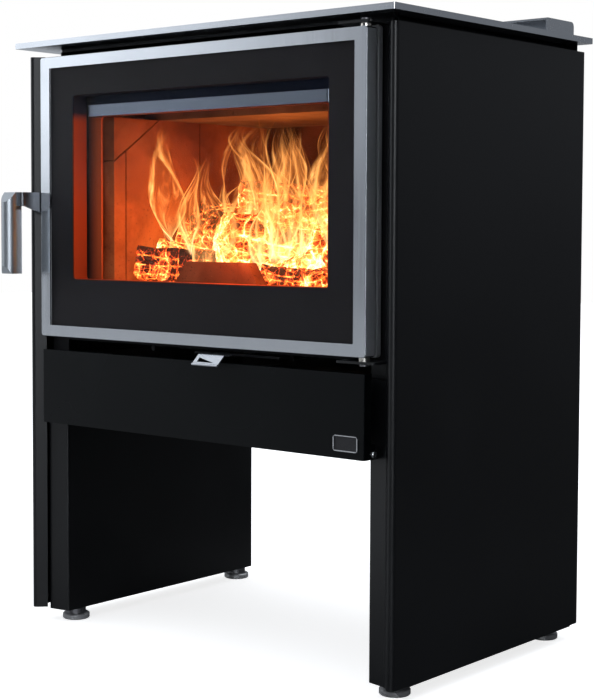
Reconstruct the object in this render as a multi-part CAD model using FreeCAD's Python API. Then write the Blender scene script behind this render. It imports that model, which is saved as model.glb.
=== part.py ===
"""Free-standing wood burning stove: a steel cabinet on two box legs, with a framed glass door.

Millimetres. X runs across the stove, Y from front to back, Z up. The origin is on the floor, in the
middle of the whole object's length and depth. Depths are given as distances behind the front edge of
the top plate, and at() turns them into Y.
"""
import FreeCAD, Part
import math
import os

V = FreeCAD.Vector

# ---------------------------------------------------------------- driving dimensions
# Overall
top_width = 680.0
top_depth = 472.0
top_height = 850.0
top_thickness = 8.0
handle_reach = 41.5

# Clearances
moving_gap = 0.5
running_clearance = 0.05
loose_clearance = 1.0

# Rear hood on the top plate
hood_side_inset = 28.0
hood_depth = 71.0
hood_rear_inset = 5.0
hood_height = 24.0
hood_sheet = 3.0
hood_radius = 7.0
hood_slot_inset = 25.0
hood_slot_depth = 32.0

# Side panels
top_overhang = 10.0
panel_front = 9.0
panel_rear_inset = 2.0
panel_bottom = 21.0
panel_top_gap = 11.0
panel_sheet = 3.0
panel_radius = 6.0
panel_return_x = 21.0
panel_return_d = 22.0
panel_rear_return = 24.0

# Box legs
leg_width = 51.0
leg_bottom = 18.0
leg_top = 398.0
leg_sheet = 3.0
leg_front_outer = 36.0
leg_front_inner = 42.0
leg_rear_inset = 17.0
leg_radius = 4.0

# Levelling feet
foot_radius = 20.0
foot_disc = 8.0
foot_stud_radius = 6.0
foot_stud_length = 44.0
foot_collar_radius = 14.5
foot_front_inset = 32.0
foot_rear_inset = 20.0

# Door
door_side_gap = 36.0
door_bottom_gap = 29.0
door_top_gap = 15.0
door_front = 8.0
door_frame_depth = 19.0
door_frame_sheet = 1.5
door_frame_radius = 4.0
door_sight_side = 19.0
door_sight_end = 16.0
core_thickness = 3.0
core_inset = 5.0
shadow_gap = 2.0
pan_depth = 9.0
pan_sheet = 3.0
pan_overlap = 3.0
seal_width = 10.0
seal_thickness = 3.5
window_side_border = 43.0
window_bottom_border = 67.0
window_top_border = 40.0
window_radius = 4.0
glass_thickness = 4.0
glass_overlap = 2.0
print_thickness = 0.5
gasket_width = 12.0
gasket_thickness = 2.0
clip_width = 24.0
clip_height = 10.0
clip_inset = 4.0
spacer_radius = 5.0
spacer_inset = 48.0

# Door hinge
hinge_inset = 10.0
hinge_depth = 11.0
hinge_pin_radius = 4.0
hinge_block_height = 20.0
bracket_sheet = 3.0
bracket_width = 62.0
bracket_gap = 5.0
bracket_clearance = 1.5
washer_radius = 7.0

# Door handle and latch
pivot_depth = 12.0
pivot_drop = 7.0
shaft_radius = 6.0
bush_radius = 9.0
arm_sheet = 4.0
arm_gap = 1.0
arm_height = 20.0
arm_root_height = 29.0
arm_bend = 6.0
nose_gap = 4.0
grip_radius = 12.5
grip_base = 11.0
grip_length = 117.0
grip_offset = 7.0
grip_seat = 4.0
grip_top_bevel = 14.3
grip_bottom_bevel = 11.0
grip_bottom_run = 5.8
catch_width = 9.0
catch_height = 7.0
catch_rise = 9.5
catch_reach = 6.0

# Firebox, its opening and its lining
front_plate_sheet = 3.0
front_plate_inset = 21.0
opening_side_border = 88.0
opening_bottom_gap = 80.0
opening_top_gap = 101.0
opening_radius = 6.0
casing_inset = 25.0
casing_front = 58.0
casing_rear_inset = 12.0
casing_sheet = 2.5
shield_inset = 9.0
shield_sheet = 2.0
shield_bottom = 300.0
firebox_floor_gap = 22.0
firebox_sheet = 5.0
firebox_wall_gap = 20.0
firebox_rear_gap = 30.0
firebox_top_gap = 36.0
brick_thickness = 30.0
brick_joint = 2.5
brick_front_gap = 13.0
jamb_brick_depth = 22.0
slope_start_height = 61.0
slope_rise = 0.66
baffle_thickness = 25.0
baffle_smoke_gap = 90.0
wash_bar_inset = 74.0
wash_bar_depth = 15.0
wash_bar_height = 16.0
wash_bar_radius = 5.0
grate_width = 176.0
grate_depth = 146.0
grate_thickness = 12.0
grate_slots = 9
bed_height = 50.0
bed_inset = 6.0
log_radius = 37.0
log_length = 330.0
log_spacing = 62.0
log_corners = (0.9, 0.86, 0.97, 0.88, 1.0, 1.0)
stop_bottom_half = 110.0
stop_top_half = 56.0
stop_thickness = 20.0
stop_height = 82.0

# Flue collar
flue_hood_distance = 146.0
flue_bore_radius = 76.0
flue_wall = 3.0
flue_rise = 24.0
flue_flange_radius = 104.0
flue_flange = 6.0
flue_ledge = 6.0
flue_bolt_circle = 92.0

# Ash compartment and pan
ash_box_front = 46.0
ash_box_bottom = 300.0
ash_box_sheet = 2.0
pan_half_width = 130.0
ash_pan_set_back = 8.0
ash_pan_rear_gap = 76.0
ash_pan_height = 70.0
ash_pan_sheet = 2.0
pull_reach = 14.0
pull_height = 50.0
pull_half_width = 45.0

# Drop-down flap over the ash compartment
flap_front = 9.0
flap_side_gap = 38.0
flap_bottom = 301.0
flap_top_gap = 13.0
flap_sheet = 2.5
flap_flange = 15.0
flap_edge_flange = 11.0
ear_depth = 24.0
ear_height = 19.0
flap_pivot_depth = 28.0
flap_pivot_height = 307.0
flap_pin_radius = 3.0
flap_pin_head = 4.5
bracket_eye = 7.0
badge_width = 38.0
badge_height = 20.0
badge_rim = 1.8
badge_proud = 1.5
badge_field = 0.7

# Air control
tab_width = 45.0
tab_centre = 46.5
tab_sheet = 2.0
tab_drop = 12.0
tab_reach = 13.0
air_travel = 90.0
damper_sheet = 3.0
damper_length = 150.0
damper_depth = 70.0
damper_ports = 4
guide_sheet = 2.0
guide_end = 10.0
guide_ledge = 6.0

# ---------------------------------------------------------------- worked-out places
y_front = (handle_reach - top_depth) / 2
top_under = top_height - top_thickness
panel_x = top_width / 2 - top_overhang
panel_rear = top_depth - panel_rear_inset
panel_top = top_under - panel_top_gap
leg_inner = panel_x - panel_sheet - leg_width
leg_outer = panel_x - panel_sheet
leg_rear = top_depth - leg_rear_inset

door_x = panel_x - door_side_gap
door_bottom = leg_top + door_bottom_gap
door_top = top_under - door_top_gap
frame_rear = door_front + door_frame_depth
core_rear = frame_rear + core_thickness
pan_front = core_rear + shadow_gap
pan_rear = pan_front + pan_depth
pan_top = door_top + pan_overlap
pan_bottom = door_bottom - 1.0
glass_front = door_front + door_frame_sheet
glass_rear = glass_front + glass_thickness
print_rear = glass_rear + print_thickness
gasket_rear = print_rear + gasket_thickness
sight_x = door_x - door_sight_side
sight_bottom = door_bottom + door_sight_end
sight_top = door_top - door_sight_end
glass_x = sight_x + glass_overlap
glass_bottom = sight_bottom - glass_overlap
glass_top = sight_top + glass_overlap
window_x = sight_x - window_side_border
window_bottom = sight_bottom + window_bottom_border
window_top = sight_top - window_top_border

front_plate = pan_rear + seal_thickness + moving_gap
front_plate_rear = front_plate + front_plate_sheet
front_plate_x = panel_x - front_plate_inset
front_plate_top = top_under - panel_top_gap
opening_x = door_x - opening_side_border
opening_bottom = leg_top + opening_bottom_gap
opening_top = top_under - opening_top_gap
casing_x = panel_x - casing_inset
casing_rear = top_depth - casing_rear_inset
shield_x = panel_x - shield_inset
floor_top = leg_top + firebox_floor_gap + firebox_sheet
floor_under = floor_top - firebox_sheet
wall_inner = opening_x + firebox_wall_gap
firebox_rear = casing_rear - firebox_rear_gap
firebox_top = top_under - firebox_top_gap
lining_x = wall_inner - brick_thickness
lining_front = front_plate_rear + brick_front_gap
flue_depth = top_depth - hood_rear_inset - hood_depth - flue_hood_distance
ash_pan_front = ash_box_front + ash_pan_set_back
ash_pan_depth = firebox_rear - ash_pan_rear_gap - ash_pan_front
lining_rear = firebox_rear - firebox_sheet - brick_thickness
hearth = floor_top + brick_thickness
bed_top = hearth + bed_height

hinge_x = door_x - hinge_inset
hinge_d = door_front + hinge_depth
lower_bracket_top = door_bottom - bracket_gap
upper_bracket_bottom = pan_top + bracket_clearance
pivot_d = door_front + pivot_depth
pivot_z = (door_bottom + door_top) / 2 - pivot_drop
arm_inner = door_x + arm_gap
arm_outer = arm_inner + arm_sheet
grip_top = pivot_z + 14.0
grip_front = -handle_reach
grip_shoulder = grip_front + grip_radius
grip_rear = grip_shoulder + grip_base
grip_inner = arm_outer + grip_offset
flap_x = panel_x - flap_side_gap
flap_top = floor_under - flap_top_gap
damper_top = floor_under - 4.0
damper_bottom = damper_top - damper_sheet
damper_front = front_plate_rear + 2.0


# ---------------------------------------------------------------- shape helpers
def at(depth):
    """Y of a place so far behind the front edge of the top plate."""
    return y_front + depth


def block(x0, x1, d0, d1, z0, z1):
    """Box between two X values, two depths and two heights."""
    return Part.makeBox(x1 - x0, d1 - d0, z1 - z0, V(x0, at(d0), z0))


def upright(x, depth, z0, z1, radius):
    """Vertical cylinder."""
    return Part.makeCylinder(radius, z1 - z0, V(x, at(depth), z0))


def crossbar(x0, x1, depth, z, radius):
    """Cylinder along X."""
    return Part.makeCylinder(radius, x1 - x0, V(x0, at(depth), z), V(1, 0, 0))


def mirrored(shape):
    """The same shape on the other side of the stove."""
    return shape.mirror(V(0, 0, 0), V(1, 0, 0))


def both_sides(shape):
    """A shape and its mirror image as two separate solids."""
    return Part.makeCompound([shape, mirrored(shape)])


def plan_prism(points, z0, z1):
    """Upright prism on an outline of (x, depth) points."""
    corners = [V(x, at(d), z0) for x, d in points]
    return Part.Face(Part.makePolygon(corners + corners[:1])).extrude(V(0, 0, z1 - z0))


def side_prism(points, x0, x1):
    """Prism along X on an outline of (depth, z) points."""
    corners = [V(x0, at(d), z) for d, z in points]
    return Part.Face(Part.makePolygon(corners + corners[:1])).extrude(V(x1 - x0, 0, 0))


def front_prism(points, d0, d1):
    """Prism along Y on an outline of (x, z) points."""
    corners = [V(x, at(d0), z) for x, z in points]
    return Part.Face(Part.makePolygon(corners + corners[:1])).extrude(V(0, d1 - d0, 0))


def edges_along(shape, direction, test):
    """Straight edges of a shape along a direction whose middle passes a test."""
    found = []
    for edge in shape.Edges:
        if isinstance(edge.Curve, Part.Line):
            middle = edge.CenterOfMass
            if abs(abs(edge.Curve.Direction.dot(direction)) - 1) < 1e-6 and test(middle):
                found.append(edge)
    return found


def rounded_plate(half_x, z0, z1, d0, d1, radius):
    """Plate standing across the stove with its four corners rounded."""
    plate = block(-half_x, half_x, d0, d1, z0, z1)
    return plate.makeFillet(radius, edges_along(plate, V(0, 1, 0), lambda p: True))


def frame_ring(half_x, z0, z1, inner_x, inner_z0, inner_z1, d0, d1, radius, inner_radius):
    """Rectangular ring standing across the stove."""
    hole = rounded_plate(inner_x, inner_z0, inner_z1, d0 - 1, d1 + 1, inner_radius)
    return rounded_plate(half_x, z0, z1, d0, d1, radius).cut(hole)


def bent_strip(path, sheet, radius, place, sweep):
    """Folded sheet: a path of 2D points, thickened to its left, bent round an outer radius and swept.

    place turns a 2D point into a 3D one and sweep is the vector that the section is drawn along.
    """
    near, far = [path[0]], [left_of(path[0], path[0], path[1], sheet)]
    for before, corner, after in zip(path, path[1:], path[2:]):
        near_arc, far_arc = bend(before, corner, after, sheet, radius)
        near.append(near_arc)
        far.append(far_arc)
    near.append(path[-1])
    far.append(left_of(path[-1], path[-2], path[-1], sheet))
    edges = run_edges(near, place) + [line(near[-1], far[-1], place)]
    edges += run_edges(far[::-1], place, reverse=True) + [line(far[0], near[0], place)]
    return Part.Face(Part.Wire(Part.__sortEdges__(edges))).extrude(sweep)


def unit(a, b):
    """Unit vector from one 2D point to another."""
    length = math.hypot(b[0] - a[0], b[1] - a[1])
    return (b[0] - a[0]) / length, (b[1] - a[1]) / length


def left_of(point, a, b, distance):
    """A 2D point moved to the left of the direction from a to b."""
    ux, uy = unit(a, b)
    return point[0] - uy * distance, point[1] + ux * distance


def bend(before, corner, after, sheet, radius):
    """Both faces' arcs round one corner, each as its start, middle and end."""
    ux, uy = unit(before, corner)
    wx, wy = unit(corner, after)
    turn = math.atan2(ux * wy - uy * wx, ux * wx + uy * wy)
    side = 1 if turn > 0 else -1
    near_radius = radius if side > 0 else radius - sheet
    far_radius = radius - sheet if side > 0 else radius
    back = near_radius * math.tan(abs(turn) / 2)
    start = (corner[0] - ux * back, corner[1] - uy * back)
    centre = (start[0] - side * uy * near_radius, start[1] + side * ux * near_radius)

    def arc(arc_radius):
        points = []
        for share in (0.0, 0.5, 1.0):
            angle = turn * share
            nx, ny = side * uy, -side * ux
            rx = nx * math.cos(angle) - ny * math.sin(angle)
            ry = nx * math.sin(angle) + ny * math.cos(angle)
            points.append((centre[0] + rx * arc_radius, centre[1] + ry * arc_radius))
        return tuple(points)

    return arc(near_radius), arc(far_radius)


def line(a, b, place):
    """Straight edge between two 2D points."""
    return Part.makeLine(place(*a), place(*b))


def run_edges(stops, place, reverse=False):
    """Edges of a run of points and arcs, in order."""
    edges = []
    here = stops[0]
    for stop in stops[1:]:
        if isinstance(stop[0], tuple):
            start, middle, end = stop[::-1] if reverse else stop
            edges.append(line(here, start, place))
            edges.append(Part.Arc(place(*start), place(*middle), place(*end)).toShape())
            here = end
        else:
            edges.append(line(here, stop, place))
            here = stop
    return edges


def in_plan(z):
    """Place (x, depth) points at a height."""
    return lambda x, d: V(x, at(d), z)


def in_side(x):
    """Place (depth, z) points at an X."""
    return lambda d, z: V(x, at(d), z)


# ---------------------------------------------------------------- top and outer cabinet
def make_top_plate():
    """Top plate with the flue hole and the slot that feeds the rear hood."""
    plate = block(-top_width / 2, top_width / 2, 0, top_depth, top_under, top_height)
    plate = plate.makeFillet(2.0, edges_along(plate, V(0, 0, 1), lambda p: True))
    hole_radius = flue_bore_radius + flue_wall + loose_clearance
    plate = plate.cut(upright(0, flue_depth, top_under - 1, top_height + 1, hole_radius))
    return plate.cut(hood_slot(top_under - 1, top_height + 1))


def hood_slot(z0, z1):
    """Slot that lets the warm air up into the hood."""
    x = top_width / 2 - hood_side_inset - hood_slot_inset
    return block(-x, x, casing_rear - hood_slot_depth, casing_rear, z0, z1)


def make_rear_hood():
    """Folded cover over the rear slot, open to the front, with a rounded rear edge."""
    x = top_width / 2 - hood_side_inset
    rear = top_depth - hood_rear_inset
    front = rear - hood_depth
    outer = block(-x, x, front, rear, top_height, top_height + hood_height)
    rear_edge = edges_along(outer, V(1, 0, 0), lambda p: p.y > at(rear) - 1 and p.z > top_height + 1)
    outer = outer.makeFillet(hood_radius, rear_edge)
    x -= hood_sheet
    inner = block(-x, x, front - 1, rear - hood_sheet, top_height - 1, top_height + hood_height - hood_sheet)
    return outer.cut(inner)


def make_side_panel():
    """Right side panel: slanted front return, full-height side and rear return, in one sheet."""
    path = [(panel_x - panel_return_x, panel_front + panel_return_d), (panel_x, panel_front),
            (panel_x, panel_rear), (panel_x - panel_rear_return, panel_rear)]
    height = panel_top - panel_bottom
    return bent_strip(path, panel_sheet, panel_radius, in_plan(panel_bottom), V(0, 0, height))


def leg_front_at(x):
    """Depth of the leg's slightly slanted front face at an X."""
    share = (x - leg_inner) / (leg_outer - panel_return_x + panel_sheet - leg_inner)
    return leg_front_inner + share * (leg_front_outer - leg_front_inner)


def make_leg():
    """Right box leg: front, inner side and rear in one sheet, with a top and a foot plate."""
    outer_front = leg_outer - panel_return_x + panel_sheet
    path = [(outer_front, leg_front_outer), (leg_inner, leg_front_inner),
            (leg_inner, leg_rear), (leg_outer - panel_rear_return, leg_rear)]
    path = path[::-1]
    walls = bent_strip(path, leg_sheet, leg_radius, in_plan(leg_bottom), V(0, 0, leg_top - leg_bottom))
    outline = [(leg_inner + leg_sheet, leg_front_at(leg_inner) + leg_sheet + 1.0),
               (outer_front, leg_front_outer + leg_sheet + 1.0), (leg_outer, leg_front_outer + 20.0),
               (leg_outer, leg_rear - leg_sheet), (leg_inner + leg_sheet, leg_rear - leg_sheet)]
    leg = walls
    for z in (leg_bottom, leg_top - leg_sheet):
        leg = leg.fuse(plan_prism(outline, z, z + leg_sheet))
    hole_radius = foot_stud_radius + running_clearance
    for depth in foot_depths():
        leg = leg.cut(upright(foot_x(), depth, leg_bottom - 1, leg_bottom + 10, hole_radius))
    return leg.removeSplitter()


def make_rear_shield():
    """Rear heat shield with two rows of vent slots."""
    rear = casing_rear + shield_sheet
    shield = block(-shield_x, shield_x, casing_rear, rear, shield_bottom, top_under)
    pitch = 2 * shield_x / 9
    for row in (shield_bottom + 90.0, top_under - 110.0):
        for i in range(-3, 4):
            x = i * pitch
            slot = block(x - pitch * 0.3, x + pitch * 0.3, casing_rear - 1, casing_rear + 5, row, row + 8.0)
            shield = shield.cut(slot)
    return shield


def make_shield_screws():
    """Button-head screws that hold the rear shield."""
    heads = []
    head_front = casing_rear + shield_sheet
    for x in (-shield_x + 30.0, 0.0, shield_x - 30.0):
        for z in (shield_bottom + 30.0, top_under - 45.0):
            head = Part.makeCylinder(4.5, 2.5, V(x, at(head_front), z), V(0, 1, 0))
            rim = [e for e in head.Edges if e.CenterOfMass.y > at(head_front) + 2 and e.Closed]
            heads.append(head.makeFillet(1.5, rim))
    return Part.makeCompound(heads)


# ---------------------------------------------------------------- feet
def foot_x():
    """X of the right-hand feet."""
    return (leg_inner + panel_x) / 2 - 9.0


def foot_depths():
    """Depths of the front and rear feet."""
    return leg_front_inner + foot_front_inset, leg_rear - foot_rear_inset


def make_foot(x, depth):
    """Levelling foot: bevelled disc, short neck and stud."""
    disc = upright(x, depth, 0, foot_disc, foot_radius)
    rims = [e for e in disc.Edges if e.Closed]
    disc = disc.makeChamfer(1.2, rims)
    return disc.fuse(upright(x, depth, foot_disc - 1, foot_disc + foot_stud_length, foot_stud_radius))


def make_foot_collars():
    """Round lock nuts between the feet and the legs."""
    collars = []
    for x in (-foot_x(), foot_x()):
        for depth in foot_depths():
            collar = upright(x, depth, foot_disc + moving_gap, leg_bottom, foot_collar_radius)
            hole = upright(x, depth, 0, leg_bottom + 1, foot_stud_radius + running_clearance)
            collars.append(collar.cut(hole))
    return Part.makeCompound(collars)


# ---------------------------------------------------------------- firebox and casing
def make_front_plate():
    """Firebox front with the fire opening, notched below for the air control."""
    plate = block(-front_plate_x, front_plate_x, front_plate, front_plate_rear, leg_top, front_plate_top)
    opening = rounded_plate(opening_x, opening_bottom, opening_top, front_plate - 1,
                            front_plate_rear + 1, opening_radius)
    notch = block(-leg_inner, leg_inner, front_plate - 1, front_plate_rear + 1, leg_top - 1, floor_under)
    return plate.cut(opening).cut(notch)


def make_casing():
    """Convection casing: two sides and a top in one folded sheet, with the flue hole."""
    path = [(casing_x, leg_top), (casing_x, top_under), (-casing_x, top_under), (-casing_x, leg_top)]
    casing = bent_strip(path, casing_sheet, 5.0, lambda x, z: V(x, at(casing_front), z),
                        V(0, casing_rear - casing_front, 0))
    hole_radius = flue_bore_radius + flue_wall + loose_clearance
    hole = upright(0, flue_depth, top_under - 5, top_under + 5, hole_radius)
    return casing.cut(hole).cut(hood_slot(top_under - casing_sheet - 1, top_under + 1))


def make_firebox_floor():
    """Firebox floor with the hole under the grate."""
    half_x = casing_x - casing_sheet
    floor = block(-half_x, half_x, front_plate_rear, firebox_rear, floor_under, floor_top)
    centre = grate_centre()
    hole_x, hole_d = grate_width / 2 - 12.0, grate_depth / 2 - 12.0
    return floor.cut(block(-hole_x, hole_x, centre - hole_d, centre + hole_d, floor_under - 1, floor_top + 1))


def make_firebox_side():
    """Right side wall of the firebox."""
    outer = wall_inner + firebox_sheet
    return block(wall_inner, outer, front_plate_rear, firebox_rear, floor_top, firebox_top)


def make_firebox_back():
    """Back wall of the firebox, with a row of upper air holes."""
    front = firebox_rear - firebox_sheet
    back = block(-wall_inner, wall_inner, front, firebox_rear, floor_top, firebox_top)
    for i in range(-3, 4):
        x = i * wall_inner / 4
        drill = Part.makeCylinder(4.0, 20, V(x, at(firebox_rear - 10), hearth + 250.0), V(0, 1, 0))
        back = back.cut(drill)
    return back


def make_firebox_top():
    """Top of the firebox, with a hole a ledge smaller than the flue collar."""
    outer = wall_inner + firebox_sheet
    top = block(-outer, outer, front_plate_rear, firebox_rear, firebox_top, firebox_top + firebox_sheet)
    return top.cut(upright(0, flue_depth, firebox_top - 1, firebox_top + 10, flue_bore_radius - flue_ledge))


def make_flue_collar():
    """Flue collar with its bolting flange."""
    base = firebox_top + firebox_sheet
    rim = top_height + flue_rise
    collar = upright(0, flue_depth, base, rim, flue_bore_radius + flue_wall)
    collar = collar.fuse(upright(0, flue_depth, base, base + flue_flange, flue_flange_radius))
    collar = collar.cut(upright(0, flue_depth, base - 1, rim + 1, flue_bore_radius))
    outer_rim = [e for e in collar.Edges if e.Closed and e.CenterOfMass.z > rim - 0.1
                 and e.Curve.Radius > flue_bore_radius + 1]
    return collar.makeFillet(1.2, outer_rim)


def hex_head(x, depth, z, across, height):
    """Hexagonal bolt head standing on a surface."""
    corner = across / math.sqrt(3)
    points = [(x + corner * math.cos(math.radians(60 * i)), depth + corner * math.sin(math.radians(60 * i)))
              for i in range(6)]
    return plan_prism(points, z, z + height)


def make_flue_bolts():
    """Hexagonal bolts on the collar's flange."""
    heads = []
    for i in range(4):
        angle = math.radians(45 + 90 * i)
        x = flue_bolt_circle * math.cos(angle)
        depth = flue_depth + flue_bolt_circle * math.sin(angle)
        heads.append(hex_head(x, depth, firebox_top + firebox_sheet + flue_flange, 13.0, 5.5))
    return Part.makeCompound(heads)


def slope_height(depth):
    """Height of the slanting joint in the side bricks at a depth."""
    return opening_top - slope_start_height + slope_rise * (depth - lining_front)


def make_side_bricks():
    """Right side bricks: a jamb brick, two wall bricks and the wedge brick above the slanting joint."""
    jamb_rear = lining_front + jamb_brick_depth
    middle = (jamb_rear + lining_rear) / 2
    slope_end = lining_front + slope_start_height / slope_rise
    wall_rear = firebox_rear - firebox_sheet
    jamb = [(lining_front, hearth), (jamb_rear, hearth), (jamb_rear, slope_height(jamb_rear) - brick_joint),
            (lining_front, slope_height(lining_front) - brick_joint)]
    near_front = jamb_rear + brick_joint
    near = [(near_front, hearth), (middle, hearth), (middle, opening_top), (slope_end, opening_top),
            (near_front, slope_height(near_front) - brick_joint)]
    wedge = [(lining_front, slope_height(lining_front)), (slope_end - brick_joint, opening_top),
             (lining_front, opening_top)]
    far = [(middle + brick_joint, hearth), (wall_rear, hearth), (wall_rear, opening_top),
           (middle + brick_joint, opening_top)]
    outlines = (jamb, near, wedge, far)
    return Part.makeCompound([side_prism(outline, lining_x, wall_inner) for outline in outlines])


def make_back_bricks():
    """Three bricks along the back."""
    width = (2 * lining_x - 2 * brick_joint) / 3
    bricks = []
    for i in range(3):
        x = -lining_x + i * (width + brick_joint)
        bricks.append(block(x, x + width, lining_rear, lining_rear + brick_thickness, hearth, opening_top))
    return Part.makeCompound(bricks)


def grate_centre():
    """Depth of the middle of the grate."""
    return (lining_front + lining_rear) / 2


def make_floor_bricks():
    """Four bricks round the grate."""
    half_x = grate_width / 2 + loose_clearance
    near = grate_centre() - grate_depth / 2 - loose_clearance
    far = grate_centre() + grate_depth / 2 + loose_clearance
    rear = firebox_rear - firebox_sheet
    side = block(half_x, wall_inner, near, far, floor_top, hearth)
    front = block(-wall_inner, wall_inner, lining_front, near - brick_joint, floor_top, hearth)
    back = block(-wall_inner, wall_inner, far + brick_joint, rear, floor_top, hearth)
    return Part.makeCompound([side, mirrored(side), front, back])


def make_grate():
    """Slotted bottom grate."""
    centre = grate_centre()
    grate = block(-grate_width / 2, grate_width / 2, centre - grate_depth / 2, centre + grate_depth / 2,
                  floor_top, floor_top + grate_thickness)
    pitch = (grate_width - 24.0) / grate_slots
    slot_half = grate_depth / 2 - 15.0
    for i in range(grate_slots):
        x = -grate_width / 2 + 12.0 + pitch * (i + 0.5)
        slot = block(x - pitch * 0.25, x + pitch * 0.25, centre - slot_half, centre + slot_half,
                     floor_top - 1, floor_top + grate_thickness + 1)
        grate = grate.cut(slot)
    return grate


def make_baffle():
    """Baffle plate resting on the side and back bricks."""
    return block(-wall_inner + 1.0, wall_inner - 1.0, lining_front + baffle_smoke_gap,
                 firebox_rear - firebox_sheet - 1.0, opening_top, opening_top + baffle_thickness)


def make_wash_bar():
    """Air-wash bar that throws air down behind the glass, with rounded front corners."""
    x = door_x - wash_bar_inset
    bar = block(-x, x, front_plate - wash_bar_depth, front_plate, opening_top, opening_top + wash_bar_height)
    ends = edges_along(bar, V(0, 0, 1), lambda p: p.y < at(front_plate) - 1)
    bar = bar.makeFillet(wash_bar_radius, ends)
    groove = block(-x + 12, x - 12, front_plate - wash_bar_depth + 3, front_plate + 1,
                   opening_top + 3, opening_top + wash_bar_height + 1)
    return bar.cut(groove)


def make_ember_bed():
    """Bed of ash and embers on the hearth, lower at its edges."""
    x0, x1 = lining_x - bed_inset, lining_x - bed_inset - 34.0
    d0, d1 = lining_front + stop_thickness + 8.0, lining_rear - bed_inset
    slope = 22.0
    lower = rectangle(x0, d0, d1, hearth)
    upper = rectangle(x1, d0 + slope, d1 - slope, bed_top)
    return Part.makeLoft([lower, upper], True, True)


def rectangle(half_x, d0, d1, z):
    """Closed rectangular wire at a height."""
    corners = [V(-half_x, at(d0), z), V(half_x, at(d0), z), V(half_x, at(d1), z), V(-half_x, at(d1), z)]
    return Part.makePolygon(corners + corners[:1])


def make_log(x, depth, z, turn):
    """One split log: an uneven six-sided billet with a flat underside, turned in plan."""
    corners = []
    for i, share in enumerate(log_corners):
        angle = math.radians(60 * i)
        reach = log_radius * share
        corners.append(V(-log_length / 2, reach * math.cos(angle), reach * math.sin(angle)))
    billet = Part.Face(Part.makePolygon(corners + corners[:1])).extrude(V(log_length, 0, 0))
    billet.rotate(V(0, 0, 0), V(0, 0, 1), turn)
    billet.translate(V(x, at(depth), z))
    return billet


def make_logs():
    """Two logs on the embers and one across them."""
    centre = grate_centre()
    under = log_radius * math.sin(math.radians(60))
    ridge = under * log_corners[2]
    low = bed_top + under
    high = low + ridge + under
    return Part.makeCompound([make_log(-6.0, centre - log_spacing, low, 4.0),
                              make_log(8.0, centre + log_spacing, low, -5.0),
                              make_log(0.0, centre, high, 14.0)])


def make_log_stop():
    """Low wedge-ended brick that keeps embers off the glass."""
    points = [(-stop_bottom_half, hearth), (stop_bottom_half, hearth), (stop_top_half, hearth + stop_height),
              (-stop_top_half, hearth + stop_height)]
    return front_prism(points, lining_front, lining_front + stop_thickness)


# ---------------------------------------------------------------- ash compartment
def make_ash_box():
    """Ash compartment between the legs, open in front and on top."""
    x = leg_inner
    rear = firebox_rear
    outer = block(-x, x, ash_box_front, rear, ash_box_bottom, leg_top)
    x -= ash_box_sheet
    inner = block(-x, x, ash_box_front - 1, rear - ash_box_sheet, ash_box_bottom + ash_box_sheet, leg_top + 1)
    return outer.cut(inner)


def make_ash_pan():
    """Ash pan with a folded pull at its front."""
    floor = ash_box_bottom + ash_box_sheet
    front = ash_pan_front
    rear = front + ash_pan_depth
    outer = block(-pan_half_width, pan_half_width, front, rear, floor, floor + ash_pan_height)
    x = pan_half_width - ash_pan_sheet
    inner = block(-x, x, front + ash_pan_sheet, rear - ash_pan_sheet,
                  floor + ash_pan_sheet, floor + ash_pan_height + 1)
    lip = front - pull_reach
    fold = floor + pull_height
    outline = [(front, fold), (lip, fold - 4.0), (lip, fold - 18.0), (lip + ash_pan_sheet, fold - 18.0),
               (lip + ash_pan_sheet, fold - 6.0), (front, fold - 2.0)]
    pull = side_prism(outline, -pull_half_width, pull_half_width)
    return outer.cut(inner).fuse(pull).removeSplitter()


# ---------------------------------------------------------------- door
def make_door_frame():
    """Front frame of the door: a shallow tray with the sight opening in its face."""
    tray = rounded_plate(door_x, door_bottom, door_top, door_front, frame_rear, door_frame_radius)
    t = door_frame_sheet
    hollow = rounded_plate(door_x - t, door_bottom + t, door_top - t, door_front + t, frame_rear + 1, 1.5)
    sight = rounded_plate(sight_x, sight_bottom, sight_top, door_front - 1, frame_rear, 1.5)
    frame = tray.cut(hollow).cut(sight)
    for z in (door_bottom, door_top):
        frame = frame.cut(upright(hinge_x, hinge_d, z - 4, z + 4, hinge_pin_radius + loose_clearance))
    bush_hole = crossbar(-door_x - 1, -door_x + 10, pivot_d, pivot_z, bush_radius)
    frame = frame.cut(bush_hole)
    front_rim = [e for e in frame.Edges if abs(e.CenterOfMass.y - at(door_front)) < 0.01
                 and abs(e.CenterOfMass.x) <= door_x + 0.1]
    outer_rim = [e for e in front_rim if e.BoundBox.XMax > door_x - door_frame_radius - 0.1
                 or e.BoundBox.XMin < -door_x + door_frame_radius + 0.1]
    return frame.makeFillet(1.0, outer_rim)


def make_door_core():
    """Core plate of the door, set in from the frame's edge."""
    return frame_ring(door_x - core_inset, door_bottom + core_inset, door_top - core_inset,
                      window_x + 8.0, window_bottom - 8.0, window_top + 8.0, frame_rear, core_rear, 4.0, 4.0)


def make_door_pan():
    """Rear pan of the door: a rounded outer rim, the sealing flange and the tunnel behind the window."""
    rim = rounded_plate(door_x, pan_bottom, pan_top, pan_front, pan_rear, door_frame_radius)
    t = pan_sheet
    hollow = rounded_plate(door_x - t, pan_bottom + t, pan_top - t, pan_front - 1, pan_rear - t, 1.5)
    rim = rim.cut(hollow)
    rim_edges = [e for e in rim.Edges if abs(e.CenterOfMass.y - at(pan_rear)) < 0.01]
    rim = rim.makeFillet(2.5, rim_edges)
    tunnel = rounded_plate(window_x + t, window_bottom - t, window_top + t,
                           gasket_rear, pan_rear, window_radius + t)
    sight = rounded_plate(window_x, window_bottom, window_top, gasket_rear - 1, pan_rear + 1, window_radius)
    return rim.fuse(tunnel).cut(sight).removeSplitter()


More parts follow.
